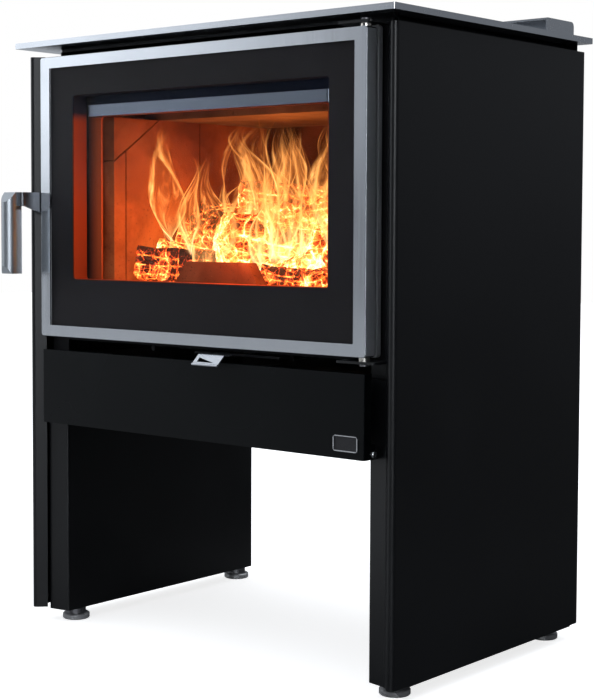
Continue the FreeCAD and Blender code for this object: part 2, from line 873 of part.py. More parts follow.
def make_door_spacers():
    """Spacer studs between the core plate and the pan's sealing flange."""
    studs = []
    x = (window_x + door_x) / 2
    length = pan_rear - pan_sheet - core_rear
    middle = (door_bottom + door_top) / 2
    reach = (door_top - door_bottom) / 2 - spacer_inset
    for z in (middle - reach, middle, middle + reach):
        stud = Part.makeCylinder(spacer_radius, length, V(x, at(core_rear), z), V(0, 1, 0))
        studs += [stud, mirrored(stud)]
    return Part.makeCompound(studs)


def make_door_glass():
    """Ceramic glass pane."""
    return rounded_plate(glass_x, glass_bottom, glass_top, glass_front, glass_rear, 2.0)


def make_glass_print():
    """Black border fired on to the back of the pane."""
    return frame_ring(glass_x, glass_bottom, glass_top, window_x, window_bottom, window_top,
                      glass_rear, print_rear, 2.0, window_radius)


def make_glass_gasket():
    """Flat fibre gasket behind the pane's edge."""
    w = gasket_width
    return frame_ring(glass_x, glass_bottom, glass_top, glass_x - w, glass_bottom + w, glass_top - w,
                      print_rear, gasket_rear, 2.0, 2.0)


def make_glass_clips():
    """Clips between the gasket and the core plate, two on each edge of the pane."""
    clips = []
    half = clip_width / 2
    outer_x = glass_x - clip_inset
    middle = (glass_bottom + glass_top) / 2
    for z in (middle - 93.0, middle + 93.0):
        clip = block(outer_x - clip_height, outer_x, gasket_rear, frame_rear, z - half, z + half)
        clips += [clip, mirrored(clip)]
    for z in (glass_bottom + clip_inset, glass_top - clip_inset - clip_height):
        x = glass_x / 2
        clip = block(x - half, x + half, gasket_rear, frame_rear, z, z + clip_height)
        clips += [clip, mirrored(clip)]
    return Part.makeCompound(clips)


def make_rope_seal():
    """Rope seal on the back of the door, round the fire opening."""
    inner_x, inner_bottom, inner_top = window_x + 14.0, window_bottom - 42.0, window_top + 16.0
    w = seal_width
    seal = frame_ring(inner_x + w, inner_bottom - w, inner_top + w, inner_x, inner_bottom, inner_top,
                      pan_rear, pan_rear + seal_thickness, 14.0, 6.0)
    back = [e for e in seal.Edges if abs(e.CenterOfMass.y - at(pan_rear + seal_thickness)) < 0.01]
    return seal.makeFillet(1.5, back)


def make_hinge_block(z0):
    """Hinge block in a corner of the door frame, bored for its pin."""
    z1 = z0 + hinge_block_height
    body = block(glass_x + 0.5, door_x - door_frame_sheet, glass_front, frame_rear, z0, z1)
    body = body.makeFillet(2.0, edges_along(body, V(0, 1, 0), lambda p: p.x > hinge_x))
    return body.cut(upright(hinge_x, hinge_d, z0 - 1, z1 + 1, hinge_pin_radius + running_clearance))


def make_hinge_blocks():
    """Both hinge blocks."""
    return Part.makeCompound([make_hinge_block(door_bottom + door_frame_sheet),
                              make_hinge_block(door_top - door_frame_sheet - hinge_block_height)])


def make_lower_bracket():
    """Lower hinge bracket: a shelf in front of the firebox and the leg that holds it."""
    x0 = front_plate_x - bracket_width
    shelf = block(x0, front_plate_x - 3.0, panel_front - 1.0, front_plate, lower_bracket_top - bracket_sheet,
                  lower_bracket_top)
    shelf = shelf.makeFillet(5.0, edges_along(shelf, V(0, 0, 1), lambda p: p.y < at(panel_front)))
    lip = block(leg_inner + 2.0, front_plate_x - 3.0, front_plate - bracket_sheet, front_plate, leg_top + 2.0,
                lower_bracket_top - bracket_sheet)
    hole = upright(hinge_x, hinge_d, lower_bracket_top - 10, lower_bracket_top + 10, hinge_pin_radius)
    return shelf.fuse(lip).cut(hole).removeSplitter()


def make_upper_bracket():
    """Upper hinge bracket: a shelf over the door with a lip against the casing."""
    x0 = front_plate_x - bracket_width
    z0, z1 = upper_bracket_bottom, upper_bracket_bottom + bracket_sheet
    shelf = block(x0, casing_x - 5.0, panel_front - 1.0, casing_front, z0, z1)
    shelf = shelf.makeFillet(5.0, edges_along(shelf, V(0, 0, 1), lambda p: p.y < at(panel_front)))
    lip = block(x0, casing_x - 5.0, casing_front - bracket_sheet, casing_front, z1, top_under - 1.0)
    hole = upright(hinge_x, hinge_d, z0 - 10, z1 + 10, hinge_pin_radius)
    return shelf.fuse(lip).cut(hole).removeSplitter()


def make_hinge_pins():
    """Headed pins fixed in the two brackets."""
    reach = hinge_block_height - 4.0
    low_top = door_bottom + door_frame_sheet + reach
    lower = upright(hinge_x, hinge_d, lower_bracket_top - bracket_sheet - 3.0, low_top, hinge_pin_radius)
    lower = lower.fuse(upright(hinge_x, hinge_d, lower_bracket_top - bracket_sheet - 3.0,
                               lower_bracket_top - bracket_sheet, hinge_pin_radius + 2.0))
    high_bottom = door_top - door_frame_sheet - reach
    shelf_top = upper_bracket_bottom + bracket_sheet
    upper = upright(hinge_x, hinge_d, high_bottom, shelf_top + 3.0, hinge_pin_radius)
    upper = upper.fuse(upright(hinge_x, hinge_d, shelf_top, shelf_top + 3.0, hinge_pin_radius + 2.0))
    return Part.makeCompound([lower, upper])


def make_hinge_washers():
    """Brass washers between the brackets and the door."""
    spans = ((lower_bracket_top, door_bottom - moving_gap), (door_top + moving_gap, upper_bracket_bottom))
    washers = []
    hole_radius = hinge_pin_radius + running_clearance
    for z0, z1 in spans:
        ring = upright(hinge_x, hinge_d, z0, z1, washer_radius)
        washers.append(ring.cut(upright(hinge_x, hinge_d, z0 - 1, z1 + 1, hole_radius)))
    return Part.makeCompound(washers)


# ---------------------------------------------------------------- handle and latch
def make_handle_bush():
    """Bush in the door's left edge that carries the handle's shaft."""
    inner = -door_x + 14.0
    bush = crossbar(-door_x - arm_gap + 0.4, inner, pivot_d, pivot_z, bush_radius)
    flat = block(-door_x - 5, inner + 5, frame_rear, frame_rear + 10, pivot_z - 20, pivot_z + 20)
    front_flat = block(-door_x - 5, inner + 5, 0, door_front + door_frame_sheet, pivot_z - 20, pivot_z + 20)
    hole = crossbar(-door_x - 10, inner + 1, pivot_d, pivot_z, shaft_radius + running_clearance)
    return bush.cut(flat).cut(front_flat).cut(hole)


def make_handle_arm():
    """Lever: a plate outside the door's edge, tapered forwards, bent to the grip, with the latch nose."""
    tip = grip_rear - grip_seat
    arm_bottom = grip_top - arm_height
    nose = front_plate - nose_gap
    outline = [(tip - arm_sheet + arm_bend, grip_top), (frame_rear + 4.0, grip_top), (nose, pivot_z + 5.0),
               (nose, pivot_z - 8.0), (frame_rear, grip_top - arm_root_height),
               (door_front, grip_top - arm_root_height), (tip - arm_sheet + arm_bend, arm_bottom)]
    plate = side_prism(outline, -arm_outer, -arm_inner)
    path = [(-arm_outer, tip + arm_bend), (-arm_outer, tip), (-grip_inner, tip)]
    fold = bent_strip(path, arm_sheet, arm_bend, in_plan(arm_bottom), V(0, 0, arm_height))
    return plate.fuse(fold).removeSplitter()


def make_handle_shaft():
    """Shaft through the bush, with the cap outside the lever."""
    shaft = crossbar(-arm_inner, -door_x + 15.0, pivot_d, pivot_z, shaft_radius)
    cap = crossbar(-arm_outer - 2.5, -arm_outer, pivot_d, pivot_z, shaft_radius + 1.0)
    return Part.makeCompound([shaft, cap])


def make_grip():
    """Grip: an upright bar, half-round in front on a square base, with both ends cut on a slant."""
    x0, x1 = -grip_inner - 2 * grip_radius, -grip_inner
    z0, z1 = grip_top - grip_length, grip_top
    rear, shoulder = at(grip_rear), at(grip_shoulder)
    right, crown, left = V(x1, shoulder, z0), V((x0 + x1) / 2, at(grip_front), z0), V(x0, shoulder, z0)
    edges = [Part.Arc(right, crown, left).toShape(), Part.makeLine(left, V(x0, rear, z0)),
             Part.makeLine(V(x0, rear, z0), V(x1, rear, z0)), Part.makeLine(V(x1, rear, z0), right)]
    bar = Part.Face(Part.Wire(edges)).extrude(V(0, 0, z1 - z0))
    near = grip_front - 1.0
    top = [(grip_shoulder, z1 + 1), (grip_shoulder, z1), (grip_front, z1 - grip_top_bevel),
           (near, z1 - grip_top_bevel), (near, z1 + 1)]
    run = grip_front + grip_bottom_run
    bottom = [(run, z0 - 1), (run, z0), (grip_front, z0 + grip_bottom_bevel),
              (near, z0 + grip_bottom_bevel), (near, z0 - 1)]
    for outline in (top, bottom):
        bar = bar.cut(side_prism(outline, x0 - 1, x1 + 1))
    return bar


def make_catch():
    """Catch on the firebox front, above the latch nose."""
    x0 = -front_plate_x + 3.0
    z0 = pivot_z + catch_rise
    return block(x0, x0 + catch_width, front_plate - catch_reach, front_plate, z0, z0 + catch_height)


# ---------------------------------------------------------------- flap
def make_flap():
    """Drop-down flap: a folded tray, with an ear at each lower corner for the pivot."""
    tray = block(-flap_x, flap_x, flap_front, flap_front + flap_flange, flap_bottom, flap_top)
    tray = tray.makeFillet(1.5, edges_along(tray, V(0, 0, 1), lambda p: p.y < at(flap_front) + 1))
    t = flap_sheet
    tray = tray.cut(block(-flap_x + t, flap_x - t, flap_front + t, flap_front + flap_flange + 1,
                          flap_bottom + t, flap_top - t))
    edge_trim = flap_front + flap_edge_flange
    for z0, z1 in ((flap_bottom - 1, flap_bottom + t), (flap_top - t, flap_top + 1)):
        tray = tray.cut(block(-flap_x + t, flap_x - t, edge_trim, flap_front + flap_flange + 1, z0, z1))
    ear = block(flap_x - t, flap_x, flap_front + flap_flange - 1, flap_front + ear_depth,
                flap_bottom, flap_bottom + ear_height)
    ear = ear.makeFillet(4.0, edges_along(ear, V(1, 0, 0), lambda p: p.y > at(flap_front + ear_depth) - 1))
    hole = crossbar(flap_x - 10, flap_x + 10, flap_pivot_depth, flap_pivot_height, flap_pin_radius)
    for corner in (ear.cut(hole), mirrored(ear.cut(hole))):
        tray = tray.fuse(corner)
    return tray.removeSplitter()


def make_flap_pins():
    """Round-headed pivot pins riveted in the flap's ears."""
    pin = crossbar(flap_x - flap_sheet - 9.0, flap_x, flap_pivot_depth, flap_pivot_height, flap_pin_radius)
    head = crossbar(flap_x, flap_x + 3.5, flap_pivot_depth, flap_pivot_height, flap_pin_head)
    rim = [e for e in head.Edges if e.Closed and e.CenterOfMass.x > flap_x + 3]
    return both_sides(pin.fuse(head.makeFillet(2.5, rim)).removeSplitter())


def make_flap_brackets():
    """Pivot brackets on the fronts of the legs."""
    x1 = flap_x - flap_sheet - moving_gap
    x0 = x1 - 4.0
    points = [(x0, flap_pivot_depth), (x1, flap_pivot_depth), (x1, leg_front_at(x1)), (x0, leg_front_at(x0))]
    plate = plan_prism(points, flap_pivot_height - bracket_eye, flap_pivot_height + bracket_eye)
    plate = plate.fuse(crossbar(x0, x1, flap_pivot_depth, flap_pivot_height, bracket_eye))
    hole = crossbar(x0 - 5, x1 + 5, flap_pivot_depth, flap_pivot_height, flap_pin_radius + running_clearance)
    return both_sides(plate.cut(hole).removeSplitter())


def badge_outline():
    """X centre and height of the middle of the badge."""
    return flap_x - 9.0 - badge_width / 2, flap_bottom + 9.0 + badge_height / 2


def make_badge():
    """Blank cast badge: a rounded rim round a recessed field."""
    x, z = badge_outline()
    outer = block(x - badge_width / 2, x + badge_width / 2, flap_front - badge_proud, flap_front,
                  z - badge_height / 2, z + badge_height / 2)
    outer = outer.makeFillet(4.0, edges_along(outer, V(0, 1, 0), lambda p: True))
    r = badge_rim
    recess = block(x - badge_width / 2 + r, x + badge_width / 2 - r, flap_front - 5, flap_front - badge_field,
                   z - badge_height / 2 + r, z + badge_height / 2 - r)
    return outer.cut(recess.makeFillet(2.5, edges_along(recess, V(0, 1, 0), lambda p: True)))


# ---------------------------------------------------------------- air control
def make_air_tab():
    """Bent air-control tab with a wedge-shaped cut-out in its sloping face."""
    x0 = tab_centre - tab_width / 2
    top = damper_top + tab_sheet
    front = 2.0
    path = [(damper_front + 14.0, top), (front, top), (front - tab_reach, top - tab_drop)]
    tab = bent_strip(path, tab_sheet, 3.0, in_side(x0), V(tab_width, 0, 0))
    z_high, z_low = top - 0.35 * tab_drop, top - 0.8 * tab_drop
    outline = [(x0 + 6.0, z_high), (x0 + 6.0, z_low), (x0 + tab_width - 9.0, z_low)]
    wedge = front_prism(outline, -tab_reach - 6.0, 3.0)
    lip = crossbar(x0, x0 + tab_width, front - tab_reach + 0.4, top - tab_drop - 0.6, 1.7)
    return tab.cut(wedge).fuse(lip).removeSplitter()


def make_air_damper():
    """Sliding damper plate with its row of air ports."""
    x0 = tab_centre - damper_length / 2
    rear = damper_front + damper_depth
    plate = block(x0, x0 + damper_length, damper_front, rear, damper_bottom, damper_top)
    pitch = damper_length / damper_ports
    for i in range(damper_ports):
        x = x0 + pitch * (i + 0.5)
        port = block(x - pitch * 0.25, x + pitch * 0.25, damper_front + 26.0, rear - 12.0,
                     damper_bottom - 1, damper_top + 1)
        plate = plate.cut(port)
    return plate


def make_damper_guide():
    """Guide hung from the firebox floor: a folded rail behind the damper and a ledge at each end."""
    x0 = tab_centre - damper_length / 2 - air_travel - guide_end
    x1 = tab_centre + damper_length / 2 + guide_end
    low = damper_bottom - moving_gap
    under = low - guide_sheet
    front = damper_front + 18.0
    rear = damper_front + damper_depth + moving_gap
    guide = block(x0, x1, rear, rear + guide_sheet, under, floor_under)
    guide = guide.fuse(block(x0, x1, rear - 5.5, rear + guide_sheet, under, low))
    for x in (x0, x1 - guide_ledge):
        guide = guide.fuse(block(x, x + guide_ledge, front, rear, under, low))
        guide = guide.fuse(block(x, x + guide_ledge, front, front + guide_sheet, low, floor_under))
    return guide.removeSplitter()


# ---------------------------------------------------------------- writing the nodes
def all_nodes():
    """Every node's name and shape."""
    front_foot, rear_foot = foot_depths()
    side_panel, leg = make_side_panel(), make_leg()
    firebox_side, side_bricks = make_firebox_side(), make_side_bricks()
    return {
        "top_plate": make_top_plate(),
        "rear_hood": make_rear_hood(),
        "side_panel_right": side_panel,
        "side_panel_left": mirrored(side_panel),
        "leg_right": leg,
        "leg_left": mirrored(leg),
        "rear_heat_shield": make_rear_shield(),
        "shield_screws": make_shield_screws(),
        "convection_casing": make_casing(),
        "firebox_front_plate": make_front_plate(),
        "firebox_floor": make_firebox_floor(),
        "firebox_wall_right": firebox_side,
        "firebox_wall_left": mirrored(firebox_side),
        "firebox_back": make_firebox_back(),
        "firebox_top": make_firebox_top(),
        "flue_collar": make_flue_collar(),
        "flue_collar_bolts": make_flue_bolts(),
        "firebricks_right": side_bricks,
        "firebricks_left": mirrored(side_bricks),
        "firebricks_back": make_back_bricks(),
        "firebricks_floor": make_floor_bricks(),
        "grate": make_grate(),
        "baffle_plate": make_baffle(),
        "air_wash_bar": make_wash_bar(),
        "log_stop_brick": make_log_stop(),
        "ember_bed": make_ember_bed(),
        "logs": make_logs(),
        "ash_box": make_ash_box(),
        "ash_pan": make_ash_pan(),
        "damper_guide": make_damper_guide(),
        "hinge_bracket_lower": make_lower_bracket(),
        "hinge_bracket_upper": make_upper_bracket(),
        "hinge_pins": make_hinge_pins(),
        "hinge_washers": make_hinge_washers(),
        "latch_catch": make_catch(),
        "flap_pivot_brackets": make_flap_brackets(),
        "foot_lock_collars": make_foot_collars(),
        "door_frame": make_door_frame(),
        "door_core_plate": make_door_core(),
        "door_rear_pan": make_door_pan(),
        "door_spacers": make_door_spacers(),
        "door_glass": make_door_glass(),
        "glass_border_print": make_glass_print(),
        "glass_gasket": make_glass_gasket(),
        "glass_clips": make_glass_clips(),
        "door_rope_seal": make_rope_seal(),
        "door_hinge_blocks": make_hinge_blocks(),
        "handle_bush": make_handle_bush(),
        "handle_arm": make_handle_arm(),
        "handle_shaft": make_handle_shaft(),
        "handle_grip": make_grip(),
        "flap_panel": make_flap(),
        "flap_pivot_pins": make_flap_pins(),
        "badge": make_badge(),
        "air_control_tab": make_air_tab(),
        "air_damper": make_air_damper(),
        "foot_front_right": make_foot(foot_x(), front_foot),
        "foot_front_left": make_foot(-foot_x(), front_foot),
        "foot_rear_right": make_foot(foot_x(), rear_foot),
        "foot_rear_left": make_foot(-foot_x(), rear_foot),
    }


def main():
    """Write one STEP file per node."""
    os.makedirs("parts", exist_ok=True)
    for name, shape in all_nodes().items():
        shape.exportStep(f"parts/{name}.step")


main()
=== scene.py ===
"""Looks of a wood burning stove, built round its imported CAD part.

Each sub-assembly is a class that dresses its CAD nodes and builds its own new pieces. The fire (embers,
burning logs and flames) is made of surfaces worked out with numpy.
"""

import logging
import math
from dataclasses import dataclass, field
from enum import Enum
from typing import Any, ClassVar, Sequence

import bpy
import numpy as np
from mathutils import Matrix, Vector

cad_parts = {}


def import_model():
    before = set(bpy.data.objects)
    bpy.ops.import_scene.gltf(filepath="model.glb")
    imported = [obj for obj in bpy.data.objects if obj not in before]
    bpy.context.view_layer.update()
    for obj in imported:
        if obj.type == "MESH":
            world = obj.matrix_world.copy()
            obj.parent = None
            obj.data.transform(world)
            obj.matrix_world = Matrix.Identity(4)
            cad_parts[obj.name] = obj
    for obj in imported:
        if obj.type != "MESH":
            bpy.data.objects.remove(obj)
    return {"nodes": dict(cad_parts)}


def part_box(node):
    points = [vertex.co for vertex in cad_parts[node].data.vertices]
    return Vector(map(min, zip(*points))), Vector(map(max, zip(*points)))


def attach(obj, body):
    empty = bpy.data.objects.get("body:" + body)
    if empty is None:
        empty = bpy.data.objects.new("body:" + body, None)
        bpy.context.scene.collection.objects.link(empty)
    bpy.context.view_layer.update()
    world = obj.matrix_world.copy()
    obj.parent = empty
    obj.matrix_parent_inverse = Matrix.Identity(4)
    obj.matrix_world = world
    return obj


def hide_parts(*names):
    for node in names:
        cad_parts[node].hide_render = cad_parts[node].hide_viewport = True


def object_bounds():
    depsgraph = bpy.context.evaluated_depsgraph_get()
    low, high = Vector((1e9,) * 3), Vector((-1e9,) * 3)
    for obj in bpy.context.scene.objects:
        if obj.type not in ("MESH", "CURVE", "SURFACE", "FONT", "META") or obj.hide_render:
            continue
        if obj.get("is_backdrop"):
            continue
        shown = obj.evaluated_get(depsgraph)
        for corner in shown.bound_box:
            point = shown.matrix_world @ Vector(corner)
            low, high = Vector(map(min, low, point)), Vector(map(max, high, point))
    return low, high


LOG = logging.getLogger("stove")
TAU = 2.0 * math.pi
STOVE_BODY = "stove"

Colour = tuple[float, float, float]
Socket = bpy.types.NodeSocket


# ---------------------------------------------------------------- node trees
class Graph:
    """Short calls for filling one node tree."""

    def __init__(self, tree: bpy.types.NodeTree) -> None:
        """Keeps the tree.

        Args:
            tree: The node tree of a material, a world or a group.
        """
        self.tree = tree

    def put(self, node: bpy.types.Node, key: str | int, value: Any) -> None:
        """Links or sets one input.

        Args:
            node: The node that has the input.
            key: The input's name or place.
            value: A socket to link, or a plain value.
        """
        target = node.inputs[key]
        if isinstance(value, Socket):
            self.tree.links.new(value, target)
        else:
            target.default_value = value

    def add(self, kind: str, inputs: dict[str | int, Any] | None = None, **settings: Any) -> bpy.types.Node:
        """Adds a node.

        Args:
            kind: The node's type name.
            inputs: Sockets or values for its inputs.
            settings: Plain properties of the node.

        Returns:
            The new node.
        """
        node = self.tree.nodes.new(kind)
        for key, value in settings.items():
            setattr(node, key, value)
        for key, value in (inputs or {}).items():
            self.put(node, key, value)
        return node

    def sum_up(self, operation: str, first: Any, second: Any = 0.0, third: Any = 0.0,
               clamp: bool = False) -> Socket:
        """Joins numbers with one Math node.

        Args:
            operation: Name of the sum, such as MULTIPLY.
            first: First number or socket.
            second: Second number or socket.
            third: Third number or socket.
            clamp: Whether the result is kept from 0 to 1.

        Returns:
            The result.
        """
        node = self.add("ShaderNodeMath", {0: first, 1: second, 2: third}, operation=operation,
                        use_clamp=clamp)
        return node.outputs[0]

    def times(self, first: Any, second: Any, clamp: bool = False) -> Socket:
        """Multiplies two numbers or sockets."""
        return self.sum_up("MULTIPLY", first, second, clamp=clamp)

    def plus(self, first: Any, second: Any, clamp: bool = False) -> Socket:
        """Adds two numbers or sockets."""
        return self.sum_up("ADD", first, second, clamp=clamp)

    def scaled(self, first: Any, second: Any, third: Any, clamp: bool = False) -> Socket:
        """Multiplies the first two numbers or sockets and adds the third."""
        return self.sum_up("MULTIPLY_ADD", first, second, third, clamp=clamp)

    def axes(self, vector: Any) -> Any:
        """Splits a vector into its three numbers."""
        return self.add("ShaderNodeSeparateXYZ", {0: vector}).outputs

    def blend(self, factor: Any, first: Any, second: Any, kind: str = "MIX") -> Socket:
        """Mixes two colours.

        Args:
            factor: Share of the second colour.
            first: First colour.
            second: Second colour.
            kind: The way of mixing.

        Returns:
            The mixed colour.
        """
        node = self.add("ShaderNodeMix", {0: factor, 6: paint(first), 7: paint(second)},
                        data_type="RGBA", blend_type=kind)
        return node.outputs[2]

    def span(self, value: Any, low: float, high: float, start: float = 0.0, end: float = 1.0,
             smooth: bool = False) -> Socket:
        """Maps a range to another one and stops at its ends.

        Args:
            value: The number to map.
            low: Value that gives start.
            high: Value that gives end.
            start: First result.
            end: Last result.
            smooth: Whether the change eases in and out.

        Returns:
            The mapped number.
        """
        node = self.add("ShaderNodeMapRange",
                        {"Value": value, "From Min": low, "From Max": high, "To Min": start, "To Max": end},
                        interpolation_type="SMOOTHSTEP" if smooth else "LINEAR")
        return node.outputs[0]

    def noise(self, vector: Any, scale: float, detail: float = 4.0, rough: float = 0.55,
              twist: float = 0.0) -> Socket:
        """Cloudy noise from 0 to 1.

        Args:
            vector: Where it is read.
            scale: How fine it is.
            detail: Number of finer layers.
            rough: Strength of the finer layers.
            twist: How far it is bent.

        Returns:
            The noise.
        """
        node = self.add("ShaderNodeTexNoise", {"Vector": vector, "Scale": scale, "Detail": detail,
                                               "Roughness": rough, "Distortion": twist})
        return node.outputs["Fac"]

    def stretch(self, vector: Socket, scale: Any) -> Socket:
        """Multiplies a vector by another one.

        Args:
            vector: The vector.
            scale: The factors along x, y and z.

        Returns:
            The stretched vector.
        """
        return self.add("ShaderNodeVectorMath", {0: vector, 1: scale}, operation="MULTIPLY").outputs[0]

    def ramp(self, value: Any, stops: Sequence[tuple[float, Colour]]) -> Socket:
        """Colour by value.

        Args:
            value: The number that picks the colour.
            stops: Places and their colours, in rising order.

        Returns:
            The colour.
        """
        node = self.add("ShaderNodeValToRGB", {0: value})
        elements = node.color_ramp.elements
        for index, (place, colour) in enumerate(stops):
            element = elements[index] if index < len(elements) else elements.new(place)
            element.position = place
            element.color = paint(colour)
        return node.outputs[0]


def paint(colour: Any) -> Any:
    """Gives a plain colour its fourth number; a socket stays as it is.

    Args:
        colour: Three numbers, four numbers or a socket.

    Returns:
        The colour as an input takes it.
    """
    if isinstance(colour, Socket) or len(colour) == 4:
        return colour
    return (*colour, 1.0)


@dataclass(frozen=True)
class Effect:
    """A shared effect: a shader node group with named inputs and outputs."""

    name: str
    inputs: tuple[tuple[str, str, Any], ...]
    outputs: tuple[tuple[str, str], ...]

    def open(self) -> tuple[Graph, bpy.types.Node, bpy.types.Node]:
        """Starts the group.

        Returns:
            The group's graph, and its input and output nodes.
        """
        tree = bpy.data.node_groups.new(self.name, "ShaderNodeTree")
        for label, kind, value in self.inputs:
            socket = tree.interface.new_socket(name=label, in_out="INPUT", socket_type=kind)
            socket.default_value = value
        for label, kind in self.outputs:
            tree.interface.new_socket(name=label, in_out="OUTPUT", socket_type=kind)
        graph = Graph(tree)
        return graph, graph.add("NodeGroupInput"), graph.add("NodeGroupOutput")

    def place(self, graph: Graph, **inputs: Any) -> bpy.types.Node:
        """Puts the group into a material.

        Args:
            graph: The material's graph.
            inputs: Values and sockets by input name, with spaces as underscores.

        Returns:
            The group node.
        """
        node = graph.add("ShaderNodeGroup")
        node.node_tree = bpy.data.node_groups[self.name]
        for key, value in inputs.items():
            graph.put(node, key.replace("_", " "), value)
        return node


FLOAT, VECTOR, COLOUR = "NodeSocketFloat", "NodeSocketVector", "NodeSocketColor"

ORIGIN = (0.0, 0.0, 0.0)
PLACE = ("Position", VECTOR, ORIGIN)

PAINT_SKIN = Effect("paint_skin", (PLACE, ("Cloud Scale", FLOAT, 5.0), ("Peel Scale", FLOAT, 900.0)),
                    (("Cloud", FLOAT), ("Peel", FLOAT)))
BRUSHED_LINES = Effect("brushed_lines", (PLACE, ("Stretch", VECTOR, (1.0, 1.0, 1.0))),
                       (("Line", FLOAT), ("Cloud", FLOAT)))
BURNING_SKIN = Effect("burning_skin", (PLACE, ("Heat", FLOAT, 0.5), ("Flicker", FLOAT, 0.4)),
                      (("Char", COLOUR), ("Glow", COLOUR), ("Height", FLOAT)))
FLAME_VEIL = Effect("flame_veil", (("Across", FLOAT, 0.5), ("Up", FLOAT, 0.5), ("Seed", FLOAT, 0.0)),
                    (("Density", FLOAT), ("Glow", COLOUR)))
BAKED_CLAY = Effect("baked_clay", (PLACE, ("Light", COLOUR, (0.5, 0.3, 0.2, 1.0)),
                                   ("Dark", COLOUR, (0.1, 0.05, 0.03, 1.0)), ("Soot From", FLOAT, 0.6),
                                   ("Soot To", FLOAT, 0.76)),
                    (("Colour", COLOUR), ("Height", FLOAT)))

EMBER_RAMP = ((0.0, ORIGIN), (0.28, (0.03, 0.002, 0.0)), (0.42, (0.45, 0.035, 0.006)),
              (0.56, (0.95, 0.18, 0.025)), (0.72, (1.0, 0.44, 0.08)), (0.86, (1.0, 0.72, 0.24)),
              (1.0, (1.0, 0.9, 0.52)))
CHAR_RAMP = ((0.25, (0.012, 0.009, 0.008)), (0.6, (0.05, 0.032, 0.024)), (0.85, (0.16, 0.12, 0.1)))
FLAME_RAMP = ((0.0, (0.55, 0.16, 0.03)), (0.3, (0.85, 0.33, 0.08)), (0.6, (1.0, 0.55, 0.18)),
              (1.0, (1.0, 0.85, 0.48)))


